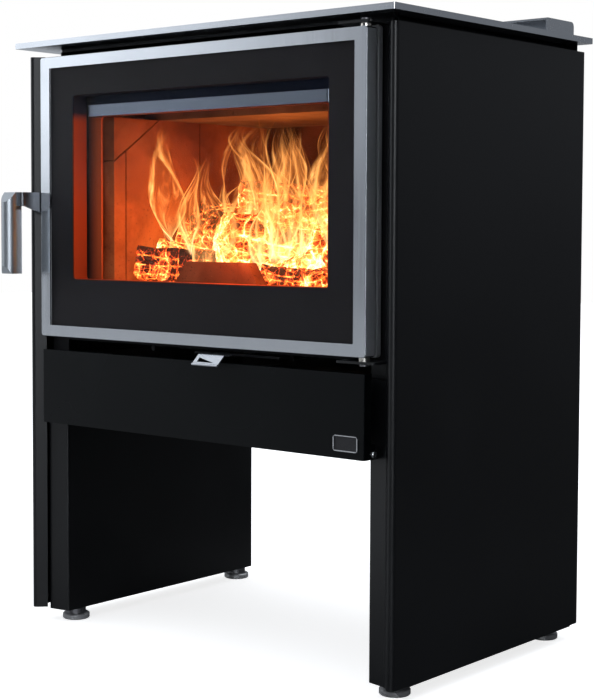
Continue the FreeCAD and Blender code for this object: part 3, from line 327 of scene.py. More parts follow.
class Effects:
    """Builds every shared effect once."""

    def build(self) -> None:
        """Makes all the groups."""
        fillers = {PAINT_SKIN: self.paint_skin, BRUSHED_LINES: self.brushed_lines,
                   BURNING_SKIN: self.burning_skin, FLAME_VEIL: self.flame_veil, BAKED_CLAY: self.baked_clay}
        for effect, fill in fillers.items():
            fill(*effect.open())

    def paint_skin(self, graph: Graph, given: bpy.types.Node, result: bpy.types.Node) -> None:
        """Sprayed paint: large soft clouds and a fine peel.

        Args:
            graph: The group's graph.
            given: Its input node.
            result: Its output node.
        """
        cloud = graph.noise(given.outputs["Position"], 5.0, 3.0, 0.5, 0.3)
        graph.put(cloud.node, "Scale", given.outputs["Cloud Scale"])
        peel = graph.noise(given.outputs["Position"], 900.0, 2.0, 0.6)
        graph.put(peel.node, "Scale", given.outputs["Peel Scale"])
        graph.put(result, "Cloud", cloud)
        graph.put(result, "Peel", peel)

    def brushed_lines(self, graph: Graph, given: bpy.types.Node, result: bpy.types.Node) -> None:
        """Brushed metal: noise stretched far along the brushing, and a faint cloud of handling marks.

        Args:
            graph: The group's graph.
            given: Its input node.
            result: Its output node.
        """
        place = graph.stretch(given.outputs["Position"], given.outputs["Stretch"])
        fine = graph.noise(place, 260.0, 5.0, 0.7)
        coarse = graph.noise(place, 60.0, 3.0, 0.6)
        line = graph.plus(graph.times(fine, 0.65), graph.times(coarse, 0.35))
        graph.put(result, "Line", line)
        graph.put(result, "Cloud", graph.noise(given.outputs["Position"], 9.0, 3.0, 0.6, 0.4))

    def burning_skin(self, graph: Graph, given: bpy.types.Node, result: bpy.types.Node) -> None:
        """Burning wood and coal: a flickering heat that goes from char through red and orange to pale yellow.

        Args:
            graph: The group's graph.
            given: Its input node.
            result: Its output node.
        """
        place = given.outputs["Position"]
        wide = graph.noise(place, 34.0, 4.0, 0.6, 0.8)
        fine = graph.noise(place, 190.0, 4.0, 0.65, 0.5)
        cells = graph.add("ShaderNodeTexVoronoi", {"Vector": place, "Scale": 95.0},
                          feature="DISTANCE_TO_EDGE")
        crack = graph.span(cells.outputs["Distance"], 0.0, 0.09, 1.0, 0.0)
        change = graph.sum_up("SUBTRACT", graph.plus(graph.times(wide, 1.3),
                                                     graph.times(fine, 0.7)), 1.0)
        change = graph.plus(change, graph.times(crack, 0.22))
        heat = graph.scaled(change, given.outputs["Flicker"], given.outputs["Heat"],
                            clamp=True)
        glow = graph.ramp(heat, EMBER_RAMP)
        char = graph.ramp(fine, CHAR_RAMP)
        graph.put(result, "Glow", glow)
        graph.put(result, "Char", char)
        graph.put(result, "Height", graph.sum_up("SUBTRACT", graph.times(fine, 0.8), crack))

    def flame_veil(self, graph: Graph, given: bpy.types.Node, result: bpy.types.Node) -> None:
        """A veil of flame: thin in the middle, brighter along its curled rims and its rising threads.

        Args:
            graph: The group's graph.
            given: Its input node.
            result: Its output node.
        """
        across, up, seed = (given.outputs[k] for k in ("Across", "Up", "Seed"))
        off = graph.sum_up("ABSOLUTE", graph.scaled(across, 2.0, -1.0))
        place = graph.add("ShaderNodeCombineXYZ", {0: graph.times(across, 2.6),
                                                   1: graph.times(up, 1.5), 2: seed}).outputs[0]
        thread = graph.span(graph.noise(place, 1.5, 5.0, 0.55, 1.7), 0.42, 0.74, smooth=True)
        ragged = graph.noise(place, 2.4, 3.0, 0.55, 0.9)
        edge_place = graph.scaled(ragged, 0.5, graph.sum_up("SUBTRACT", off, 0.25))
        edge = graph.span(edge_place, 0.98, 0.62, smooth=True)
        rim = graph.times(graph.span(edge_place, 0.55, 0.8, smooth=True), edge)
        tip = graph.span(graph.scaled(ragged, 0.45, up), 1.22, 0.72, smooth=True)
        root = graph.span(up, 0.0, 0.1, smooth=True)
        body = graph.scaled(thread, 0.5, 0.06)
        body = graph.scaled(rim, 0.75, body)
        low = graph.span(up, 0.0, 0.45, 1.0, 0.0, smooth=True)
        body = graph.scaled(low, 0.1, body)
        density = graph.times(graph.times(body, edge), graph.times(tip, root),
                              clamp=True)
        hot = graph.plus(graph.times(low, 0.6),
                         graph.scaled(thread, 0.28, graph.times(rim, 0.32)), clamp=True)
        glow = graph.ramp(hot, FLAME_RAMP)
        graph.put(result, "Density", density)
        graph.put(result, "Glow", glow)

    def baked_clay(self, graph: Graph, given: bpy.types.Node, result: bpy.types.Node) -> None:
        """Firebrick: grainy clay with dark specks, browner in clouds and sooty towards its top.

        Args:
            graph: The group's graph.
            given: Its input node.
            result: Its output node.
        """
        place = given.outputs["Position"]
        cloud = graph.noise(place, 13.0, 4.0, 0.6, 0.5)
        grain = graph.noise(place, 420.0, 3.0, 0.7)
        specks = graph.span(graph.noise(place, 260.0, 2.0, 0.5), 0.62, 0.72)
        height = graph.axes(place)[2]
        soot = graph.add("ShaderNodeMapRange", {"Value": height, "From Min": given.outputs["Soot From"],
                                                "From Max": given.outputs["Soot To"]}).outputs[0]
        soot = graph.times(soot, graph.span(cloud, 0.2, 0.75, 0.55, 1.0))
        share = graph.span(cloud, 0.3, 0.72)
        colour = graph.blend(share, given.outputs["Light"], given.outputs["Dark"])
        colour = graph.blend(graph.times(specks, 0.55), colour, (0.02, 0.012, 0.01))
        colour = graph.blend(graph.times(soot, 0.75), colour, (0.012, 0.009, 0.008))
        graph.put(result, "Colour", colour)
        graph.put(result, "Height", graph.sum_up("SUBTRACT", grain, specks))


# ---------------------------------------------------------------- finishes
CLOUD_SPAN = (0.35, 0.7)  # the part of a cloud's noise over which a finish changes


class Brushing(Enum):
    """Way a metal member is brushed, as the stretch of its line pattern."""

    ALONG_X = (0.02, 1.0, 1.0)
    ALONG_Y = (1.0, 0.02, 1.0)
    ALONG_Z = (1.0, 1.0, 0.02)


class Coat(Graph):
    """A material's graph with its shader and its object coordinates."""

    def __init__(self, material: bpy.types.Material) -> None:
        """Empties the material and starts it with a shader.

        Args:
            material: The material to fill.
        """
        material.use_nodes = True
        material.node_tree.nodes.clear()
        super().__init__(material.node_tree)
        output = self.add("ShaderNodeOutputMaterial")
        self.shader = self.add("ShaderNodeBsdfPrincipled")
        self.put(output, "Surface", self.shader.outputs[0])
        self.place = self.add("ShaderNodeTexCoord").outputs["Object"]

    def set(self, key: str, value: Any) -> None:
        """Links or sets one input of the shader."""
        self.put(self.shader, key, value)

    def relief(self, height: Socket, strength: float, distance: float) -> None:
        """Adds a bump.

        Args:
            height: The relief.
            strength: Strength from 0 to 1.
            distance: Depth in metres.
        """
        bump = self.add("ShaderNodeBump", {"Height": height, "Strength": strength, "Distance": distance})
        self.set("Normal", bump.outputs[0])


class Finish:
    """A finish that makes its material once."""

    name: str

    def material(self) -> bpy.types.Material:
        """Gives the finish's material.

        Returns:
            The material, built at the first call.
        """
        found = bpy.data.materials.get(self.name)
        if found:
            return found
        made = bpy.data.materials.new(self.name)
        self.fill(Coat(made))
        self.after(made)
        return made

    def fill(self, coat: Coat) -> None:
        """Fills the material.

        Args:
            coat: The material being filled.
        """
        raise NotImplementedError

    def after(self, material: bpy.types.Material) -> None:
        """Sets what isn't a node; most finishes need nothing."""


@dataclass(frozen=True)
class StovePaint(Finish):
    """Matt heat-proof paint on sheet steel."""

    name: str
    colour: Colour = (0.0055, 0.006, 0.0072)
    roughness: float = 0.36
    peel: float = 0.08
    cloud_scale: float = 4.0
    gloss: float = 0.36
    peel_scale: float = 1500.0
    peel_depth: float = 0.0003
    gloss_change: float = 0.05

    def fill(self, coat: Coat) -> None:
        """Fills the material with clouded colour and gloss over a fine peel.

        Args:
            coat: The material being filled.
        """
        skin = PAINT_SKIN.place(coat, Position=coat.place, Cloud_Scale=self.cloud_scale,
                                Peel_Scale=self.peel_scale)
        lighter = tuple(1.35 * c + 0.001 for c in self.colour)
        share = coat.span(skin.outputs["Cloud"], *CLOUD_SPAN)
        coat.set("Base Color", coat.blend(share, self.colour, lighter))
        rough = coat.span(skin.outputs["Cloud"], 0.25, 0.75, self.roughness - self.gloss_change,
                          self.roughness + self.gloss_change)
        coat.set("Roughness", rough)
        coat.set("Specular IOR Level", self.gloss)
        coat.relief(skin.outputs["Peel"], self.peel, self.peel_depth)


@dataclass(frozen=True)
class BrushedSteel(Finish):
    """Brushed stainless steel."""

    name: str
    brushing: Brushing = Brushing.ALONG_X
    colour: Colour = (0.6, 0.63, 0.67)
    roughness: float = 0.18
    contrast: float = 0.09
    flank_from: float = 10.0
    flank_roughness: float = 0.36
    line_depth: float = 0.0001

    def fill(self, coat: Coat) -> None:
        """Fills the material with lines along the brushing.

        Args:
            coat: The material being filled.
        """
        lines = BRUSHED_LINES.place(coat, Position=coat.place, Stretch=self.brushing.value)
        line, cloud = lines.outputs["Line"], lines.outputs["Cloud"]
        darker = tuple(c * (1.0 - self.contrast) for c in self.colour)
        coat.set("Base Color", coat.blend(coat.span(line, 0.35, 0.65), darker, self.colour))
        rough = coat.plus(coat.span(line, 0.3, 0.7, self.roughness - 0.04, self.roughness + 0.04),
                          coat.span(cloud, 0.3, 0.7, 0.0, 0.05))
        if self.flank_from < 1.0:
            aside = coat.sum_up("ABSOLUTE", coat.axes(coat.place)[0])
            rough = coat.plus(rough, coat.span(aside, self.flank_from, self.flank_from + 0.0004, 0.0,
                                               self.flank_roughness))
        coat.set("Roughness", rough)
        coat.set("Metallic", 1.0)
        coat.relief(line, 0.03, self.line_depth)


@dataclass(frozen=True)
class PaintedGlowAndShadePan(Finish):
    """Satin steel at its rim; round the window the colour is painted light: an orange-brown glow of
    firelight, with a dark blue band of painted shade above it.
    """

    name: str
    rim: Colour = (0.66, 0.68, 0.71)
    brown: Colour = (0.24, 0.05, 0.018)
    rim_metal: float = 0.6
    blue: Colour = (0.012, 0.018, 0.042)
    painted_light_from: float = 0.25
    blue_from: float = 0.735
    painted_light_low: float = 0.45
    painted_light_high: float = 0.795
    side_fade: float = 0.02
    blue_fade: float = 0.012
    end_fade: float = 0.005

    def fill(self, coat: Coat) -> None:
        """Fills the material by the distance from the middle and by height.

        Args:
            coat: The material being filled.
        """
        lines = BRUSHED_LINES.place(coat, Position=coat.place, Stretch=Brushing.ALONG_Z.value)
        axes = coat.axes(coat.place)
        # Painted light: inside these bounds round the window the colour is a painted orange-brown firelight
        # glow, and above the blue edge a painted dark blue shade; outside them it is the plain steel rim.
        outside = coat.span(coat.sum_up("ABSOLUTE", axes[0]), self.painted_light_from,
                            self.painted_light_from + self.side_fade)
        for edge, fade in ((self.painted_light_low, -self.end_fade), (self.painted_light_high, self.end_fade)):
            outside = coat.sum_up("MAXIMUM", outside, coat.span(axes[2], edge, edge + fade))
        above = coat.span(axes[2], self.blue_from, self.blue_from + self.blue_fade)
        painted_light = coat.blend(above, self.brown, self.blue)
        coat.set("Base Color", coat.blend(outside, painted_light, self.rim))
        coat.set("Metallic", coat.span(outside, 0.0, 1.0, 0.15, self.rim_metal))
        coat.set("Roughness", coat.plus(coat.span(lines.outputs["Cloud"], 0.3, 0.7, 0.0, 0.06),
                                        coat.span(outside, 0.0, 1.0, 0.5, 0.44)))
        coat.set("Specular IOR Level", 0.05)
        coat.relief(lines.outputs["Line"], 0.05, 0.0002)


@dataclass(frozen=True)
class BlankBadge(Finish):
    """Cast plate: a bright rim round a plain dark field."""

    name: str
    node: str
    rim: float = 0.0011
    rim_fade: float = 0.0004
    rim_colour: Colour = (0.62, 0.63, 0.65)
    field_dark: Colour = (0.012, 0.012, 0.014)
    field_light: Colour = (0.05, 0.05, 0.055)

    def fill(self, coat: Coat) -> None:
        """Fills the material by the place on the plate.

        Args:
            coat: The material being filled.
        """
        axes = coat.axes(coat.place)
        low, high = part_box(self.node)
        inside: Socket | float = 1.0
        for axis in (0, 2):
            middle, half = 0.5 * (low[axis] + high[axis]), 0.5 * (high[axis] - low[axis])
            off = coat.sum_up("ABSOLUTE", coat.sum_up("SUBTRACT", axes[axis], middle))
            within = coat.span(off, half - self.rim, half - self.rim - self.rim_fade)
            inside = coat.times(within, inside)
        grain = coat.span(coat.noise(coat.place, 900.0, 2.0), 0.4, 0.7)
        field_colour = coat.blend(grain, self.field_dark, self.field_light)
        coat.set("Base Color", coat.blend(inside, self.rim_colour, field_colour))
        coat.set("Metallic", coat.span(inside, 0.0, 1.0, 1.0, 0.3))
        coat.set("Roughness", coat.span(inside, 0.0, 1.0, 0.24, 0.55))
        coat.relief(coat.span(inside, 0.0, 1.0, 1.0, 0.0), 0.6, 0.0005)


@dataclass(frozen=True)
class BareMetal(Finish):
    """Plain metal, cast or turned, with faint marks."""

    name: str
    colour: Colour = (0.6, 0.6, 0.6)
    roughness: float = 0.3
    relief_strength: float = 0.1
    relief_scale: float = 400.0
    metal: float = 1.0

    def fill(self, coat: Coat) -> None:
        """Fills the material with clouded gloss and a light relief.

        Args:
            coat: The material being filled.
        """
        skin = PAINT_SKIN.place(coat, Position=coat.place, Cloud_Scale=22.0, Peel_Scale=self.relief_scale)
        worn = tuple(0.78 * c for c in self.colour)
        coat.set("Base Color", coat.blend(coat.span(skin.outputs["Cloud"], *CLOUD_SPAN), self.colour, worn))
        coat.set("Roughness", coat.span(skin.outputs["Cloud"], 0.3, 0.7, self.roughness,
                                        self.roughness + 0.12))
        coat.set("Metallic", self.metal)
        coat.relief(skin.outputs["Peel"], self.relief_strength, 0.0004)


@dataclass(frozen=True)
class Firebrick(Finish):
    """Baked clay or vermiculite board."""

    name: str
    light: Colour = (0.4, 0.14, 0.05)
    dark: Colour = (0.19, 0.055, 0.02)
    soot_from: float = 0.5
    soot_to: float = 0.76
    grain_depth: float = 0.0012

    def fill(self, coat: Coat) -> None:
        """Fills the material with grainy, sooty clay.

        Args:
            coat: The material being filled.
        """
        clay = BAKED_CLAY.place(coat, Position=coat.place, Light=paint(self.light), Dark=paint(self.dark),
                                Soot_From=self.soot_from, Soot_To=self.soot_to)
        coat.set("Base Color", clay.outputs["Colour"])
        coat.set("Roughness", coat.span(clay.outputs["Height"], 0.0, 1.0, 0.95, 0.82))
        coat.set("Specular IOR Level", 0.08)
        coat.relief(clay.outputs["Height"], 0.5, self.grain_depth)


@dataclass(frozen=True)
class KnittedRope(Finish):
    """Knitted glass-fibre rope: crossing waves make the braid."""

    name: str
    colour: Colour = (0.3, 0.29, 0.27)
    pitch: float = 900.0
    knit_depth: float = 0.0008

    def fill(self, coat: Coat) -> None:
        """Fills the material with a braid of two crossing waves.

        Args:
            coat: The material being filled.
        """
        axes = coat.axes(coat.place)
        rise = coat.plus(axes[0], axes[2])
        fall = coat.sum_up("SUBTRACT", axes[0], axes[2])
        first = coat.sum_up("SINE", coat.times(rise, self.pitch))
        second = coat.sum_up("SINE", coat.times(fall, self.pitch))
        knit = coat.sum_up("MAXIMUM", first, second)
        shade = coat.span(knit, -1.0, 1.0)
        coat.set("Base Color", coat.blend(shade, tuple(0.35 * c for c in self.colour), self.colour))
        coat.set("Roughness", coat.span(knit, -1.0, 1.0, 1.0, 0.85))
        coat.relief(knit, 0.8, self.knit_depth)


@dataclass(frozen=True)
class CeramicGlass(Finish):
    """Clear ceramic glass, very faintly amber."""

    name: str
    clear: Colour = (0.99, 0.985, 0.975)
    amber: Colour = (0.975, 0.96, 0.93)
    bending: float = 1.06

    def fill(self, coat: Coat) -> None:
        """Fills the material with clear glass that has a trace of haze.

        Args:
            coat: The material being filled.
        """
        skin = PAINT_SKIN.place(coat, Position=coat.place, Cloud_Scale=7.0, Peel_Scale=60.0)
        share = coat.span(skin.outputs["Cloud"], 0.4, 0.8)
        coat.set("Base Color", coat.blend(share, self.clear, self.amber))
        coat.set("Roughness", coat.span(skin.outputs["Cloud"], 0.4, 0.9, 0.0, 0.012))
        coat.set("Metallic", 0.0)
        coat.set("Transmission Weight", 1.0)
        coat.set("IOR", self.bending)


@dataclass(frozen=True)
class BurningFuel(Finish):
    """Burning wood or coal, hotter where its heat attribute is high."""

    name: str
    flicker: float = 0.5
    strength: float = 2.2
    relief_strength: float = 0.7
    relief_depth: float = 0.0016

    def fill(self, coat: Coat) -> None:
        """Fills the material with char and the glow of its heat.

        Args:
            coat: The material being filled.
        """
        heat = coat.add("ShaderNodeAttribute", attribute_name="fuel_heat").outputs["Fac"]
        skin = BURNING_SKIN.place(coat, Position=coat.place, Heat=heat, Flicker=self.flicker)
        coat.set("Base Color", skin.outputs["Char"])
        coat.set("Emission Color", skin.outputs["Glow"])
        coat.set("Emission Strength", self.strength)
        coat.set("Roughness", coat.span(skin.outputs["Height"], 0.0, 1.0, 0.95, 0.75))
        coat.relief(skin.outputs["Height"], self.relief_strength, self.relief_depth)

    def after(self, material: bpy.types.Material) -> None:
        """Lets the glow light the lining only through bounced light, which keeps the picture clean."""
        material.cycles.emission_sampling = "NONE"


@dataclass(frozen=True)
class FlameGlow(Finish):
    """Glowing gas: see-through sheets that add light."""

    name: str
    strength: float = 2.6

    def fill(self, coat: Coat) -> None:
        """Fills the material with the veil on the sheet's own coordinates.

        Args:
            coat: The material being filled.
        """
        flow = coat.axes(coat.add("ShaderNodeUVMap", uv_map="flow").outputs[0])
        seed = coat.add("ShaderNodeAttribute", attribute_name="seed").outputs["Fac"]
        veil = FLAME_VEIL.place(coat, Across=flow[0], Up=flow[1], Seed=seed)
        coat.set("Base Color", (0.0, 0.0, 0.0, 1.0))
        coat.set("Roughness", 1.0)
        coat.set("Specular IOR Level", 0.0)
        coat.set("Emission Color", veil.outputs["Glow"])
        coat.set("Emission Strength", self.strength)
        coat.set("Alpha", veil.outputs["Density"])

    def after(self, material: bpy.types.Material) -> None:
        """Keeps the flames out of direct light sampling; the warm lights stand in for them."""
        material.cycles.emission_sampling = "NONE"


BLACK_PANEL = StovePaint("black_panel_paint")
BLACK_LEG = StovePaint("black_leg_paint", roughness=0.33, cloud_scale=7.0, gloss=0.4)
BLACK_PLAIN = StovePaint("black_plain_steel", colour=(0.02, 0.02, 0.022), roughness=0.6)
TOP_STEEL = BrushedSteel("top_plate_steel", Brushing.ALONG_X, roughness=0.22)
FRAME_STEEL = BrushedSteel("door_frame_steel", Brushing.ALONG_Z, flank_from=0.2932)
WASH_STEEL = BrushedSteel("air_wash_steel", Brushing.ALONG_X, colour=(0.17, 0.2, 0.255), roughness=0.3)
ARM_STEEL = BrushedSteel("handle_arm_steel", Brushing.ALONG_Y, (0.13, 0.135, 0.145), 0.32, 0.12)
GRIP_STEEL = BrushedSteel("handle_grip_steel", Brushing.ALONG_Z, (0.4, 0.43, 0.46), 0.34, 0.12)
PINS_CHROME = BareMetal("chrome_steel_bright", (0.72, 0.74, 0.76), 0.14, 0.02)
FOOT_ZINC = BareMetal("foot_zinc_bright", (0.85, 0.85, 0.86), 0.2, 0.02, metal=0.55)
DARK_STEEL = BareMetal("dark_steel_bare", (0.17, 0.17, 0.18), 0.38, 0.12)
HOT_STEEL = BareMetal("firebox_steel_scaled", (0.2, 0.075, 0.045), 0.6, 0.3, 220.0)
COOL_STEEL = BareMetal("plain_steel_scaled", (0.1, 0.095, 0.09), 0.5, 0.3, 220.0)
CAST_IRON = BareMetal("cast_iron_grey", (0.09, 0.085, 0.082), 0.6, 0.6, 520.0)
BRASS = BareMetal("hinge_brass_plated", (0.6, 0.58, 0.53), 0.25, 0.05)
BRICK = Firebrick("firebrick_clay")
REAR_BRICK = Firebrick("firebrick_clay_sooty", (0.17, 0.07, 0.04), (0.06, 0.025, 0.016), 0.5, 0.7)
STOP_BRICK = Firebrick("log_stop_clay", (0.2, 0.07, 0.035), (0.1, 0.032, 0.016), 0.56, 0.75)
VERMICULITE = Firebrick("vermiculite_board", (0.2, 0.13, 0.08), (0.1, 0.06, 0.035), 0.7, 0.79)
ROPE = KnittedRope("fibre_rope_knit")
GLASS = CeramicGlass("ceramic_glass_clear")
PRINT = StovePaint("glass_print_black", (0.0165, 0.016, 0.019), 0.6, 0.0, gloss=0.1)
EMBER_GLOW = BurningFuel("ember_glow", flicker=0.75)
LOG_GLOW = BurningFuel("burning_log_glow", flicker=1.0)
FLAME = FlameGlow("flame_veil_glow")
BRACKET_PAINT = StovePaint("bracket_paint", roughness=0.45)
FLAP_PAINT = StovePaint("flap_paint", colour=(0.002, 0.003, 0.0038), roughness=0.28, gloss=0.14)
TAB_STEEL = BrushedSteel("air_tab_steel", Brushing.ALONG_X, roughness=0.26)
# Door pan and front plate: painted firelight glow round the window and painted shade above it.
PAN_STEEL = PaintedGlowAndShadePan("door_pan_steel")
MOUTH_PLATE = PaintedGlowAndShadePan("front_plate_steel", rim=(0.02, 0.02, 0.022), brown=(0.3, 0.07, 0.025),
                            rim_metal=0.2, painted_light_from=0.213, blue_from=0.7425)
BADGE = BlankBadge("badge_metal_blank", "badge")


# ---------------------------------------------------------------- surfaces
def closed_surface(name: str, grids: np.ndarray, attributes: dict[str, np.ndarray]) -> bpy.types.Object:
    """Makes one mesh of several closed surfaces.

    Each surface is a grid of points that wraps round in its columns. Its first and last rows each shrink
    to one point, the pole, so every surface is shut.

    Args:
        name: The new object's name.
        grids: Points as (surface, row, column, xyz), in metres.
        attributes: Point values as (surface, row, column).

    Returns:
        The new object.
    """
    count, rows, columns, _ = grids.shape
    inner = rows - 2
    block = inner * columns
    size = block + 2
    body = grids[:, 1:-1].reshape(count, block, 3)
    poles = np.stack([grids[:, 0].mean(1), grids[:, -1].mean(1)], 1)
    points = np.concatenate([body, poles], 1).reshape(-1, 3)
    row, column = np.meshgrid(np.arange(inner - 1), np.arange(columns), indexing="ij")
    beside = (column + 1) % columns
    quads = np.stack([row * columns + column, row * columns + beside, (row + 1) * columns + beside,
                      (row + 1) * columns + column], -1).reshape(-1, 4)
    ring = np.arange(columns)
    following = (ring + 1) % columns
    first = np.stack([following, ring, np.full(columns, block)], -1)
    base = (inner - 1) * columns
    last = np.stack([base + ring, base + following, np.full(columns, block + 1)], -1)
    shift = (np.arange(count) * size)[:, None, None]
    quads = (quads[None] + shift).reshape(-1, 4)
    fans = (np.concatenate([first, last])[None] + shift).reshape(-1, 3)
    faces = quads.tolist() + fans.tolist()
    mesh = bpy.data.meshes.new(name)
    mesh.from_pydata(points.tolist(), [], faces)
    for label, values in attributes.items():
        flat = np.concatenate([values[:, 1:-1].reshape(count, block),
                               np.stack([values[:, 0].mean(1), values[:, -1].mean(1)], 1)], 1)
        layer = mesh.attributes.new(label, "FLOAT", "POINT")
        layer.data.foreach_set("value", flat.reshape(-1).astype(np.float32))
    return link(name, mesh)


def link(name: str, mesh: bpy.types.Mesh) -> bpy.types.Object:
    """Smooths a mesh and puts it into the scene.

    Args:
        name: The new object's name.
        mesh: Its mesh.

    Returns:
        The object.
    """
    mesh.polygons.foreach_set("use_smooth", np.ones(len(mesh.polygons), bool))
    mesh.update()
    made = bpy.data.objects.new(name, mesh)
    bpy.context.scene.collection.objects.link(made)
    return made


def ring_surface(name: str, loops: np.ndarray) -> bpy.types.Object:
    """Makes a ring of a profile carried round a closed path; it wraps both ways, so it is shut.

    Args:
        name: The new object's name.
        loops: Points as (place on the path, place on the profile, xyz), in metres.

    Returns:
        The new object.
    """
    rows, columns, _ = loops.shape
    row, column = np.meshgrid(np.arange(rows), np.arange(columns), indexing="ij")
    after, beside = (row + 1) % rows, (column + 1) % columns
    quads = np.stack([row * columns + column, row * columns + beside, after * columns + beside,
                      after * columns + column], -1).reshape(-1, 4)
    mesh = bpy.data.meshes.new(name)
    mesh.from_pydata(loops.reshape(-1, 3).tolist(), [], quads.tolist())
    made = link(name, mesh)
    mesh.polygons.foreach_set("use_smooth", np.zeros(len(mesh.polygons), bool))
    return made


def rounded_outline(half: np.ndarray, radius: float, steps: int) -> np.ndarray:
    """Outline of a rounded rectangle: a corner centre plus a turning radius, corner after corner.

    Args:
        half: Half its width and half its height.
        radius: Its corner radius.
        steps: Points per corner.

    Returns:
        The points as (point, xz), anticlockwise, from its middle.
    """
    angle = (np.linspace(0.0, 0.5 * math.pi, steps)[None, :] + 0.5 * math.pi * np.arange(4)[:, None])
    signs = np.array([[1.0, 1.0], [-1.0, 1.0], [-1.0, -1.0], [1.0, -1.0]])
    centres = signs * (half - radius)
    turn = radius * np.stack([np.cos(angle), np.sin(angle)], -1)
    return (centres[:, None, :] + turn).reshape(-1, 2)


def turned(points: np.ndarray, yaw: np.ndarray, pitch: np.ndarray) -> np.ndarray:
    """Turns sets of points: first by pitch about y, then by yaw about z.

    Args:
        points: Points as (set, row, column, xyz).
        yaw: One angle per set.
        pitch: One angle per set.

    Returns:
        The turned points.
    """
    cos_p, sin_p = (f(pitch)[:, None, None] for f in (np.cos, np.sin))
    cos_y, sin_y = (f(yaw)[:, None, None] for f in (np.cos, np.sin))
    x, y, z = points[..., 0], points[..., 1], points[..., 2]
    x, z = x * cos_p + z * sin_p, z * cos_p - x * sin_p
    return np.stack([x * cos_y - y * sin_y, x * sin_y + y * cos_y, z], -1)


# ---------------------------------------------------------------- the fire
@dataclass
class Billet:
    """One burning log or chunk: centre, length and radius in metres, angles in degrees, heat from 0 to 1."""

    x: float
    depth: float
    z: float
    length: float
    radius: float
    yaw: float
    pitch: float
    heat: float
    split: float


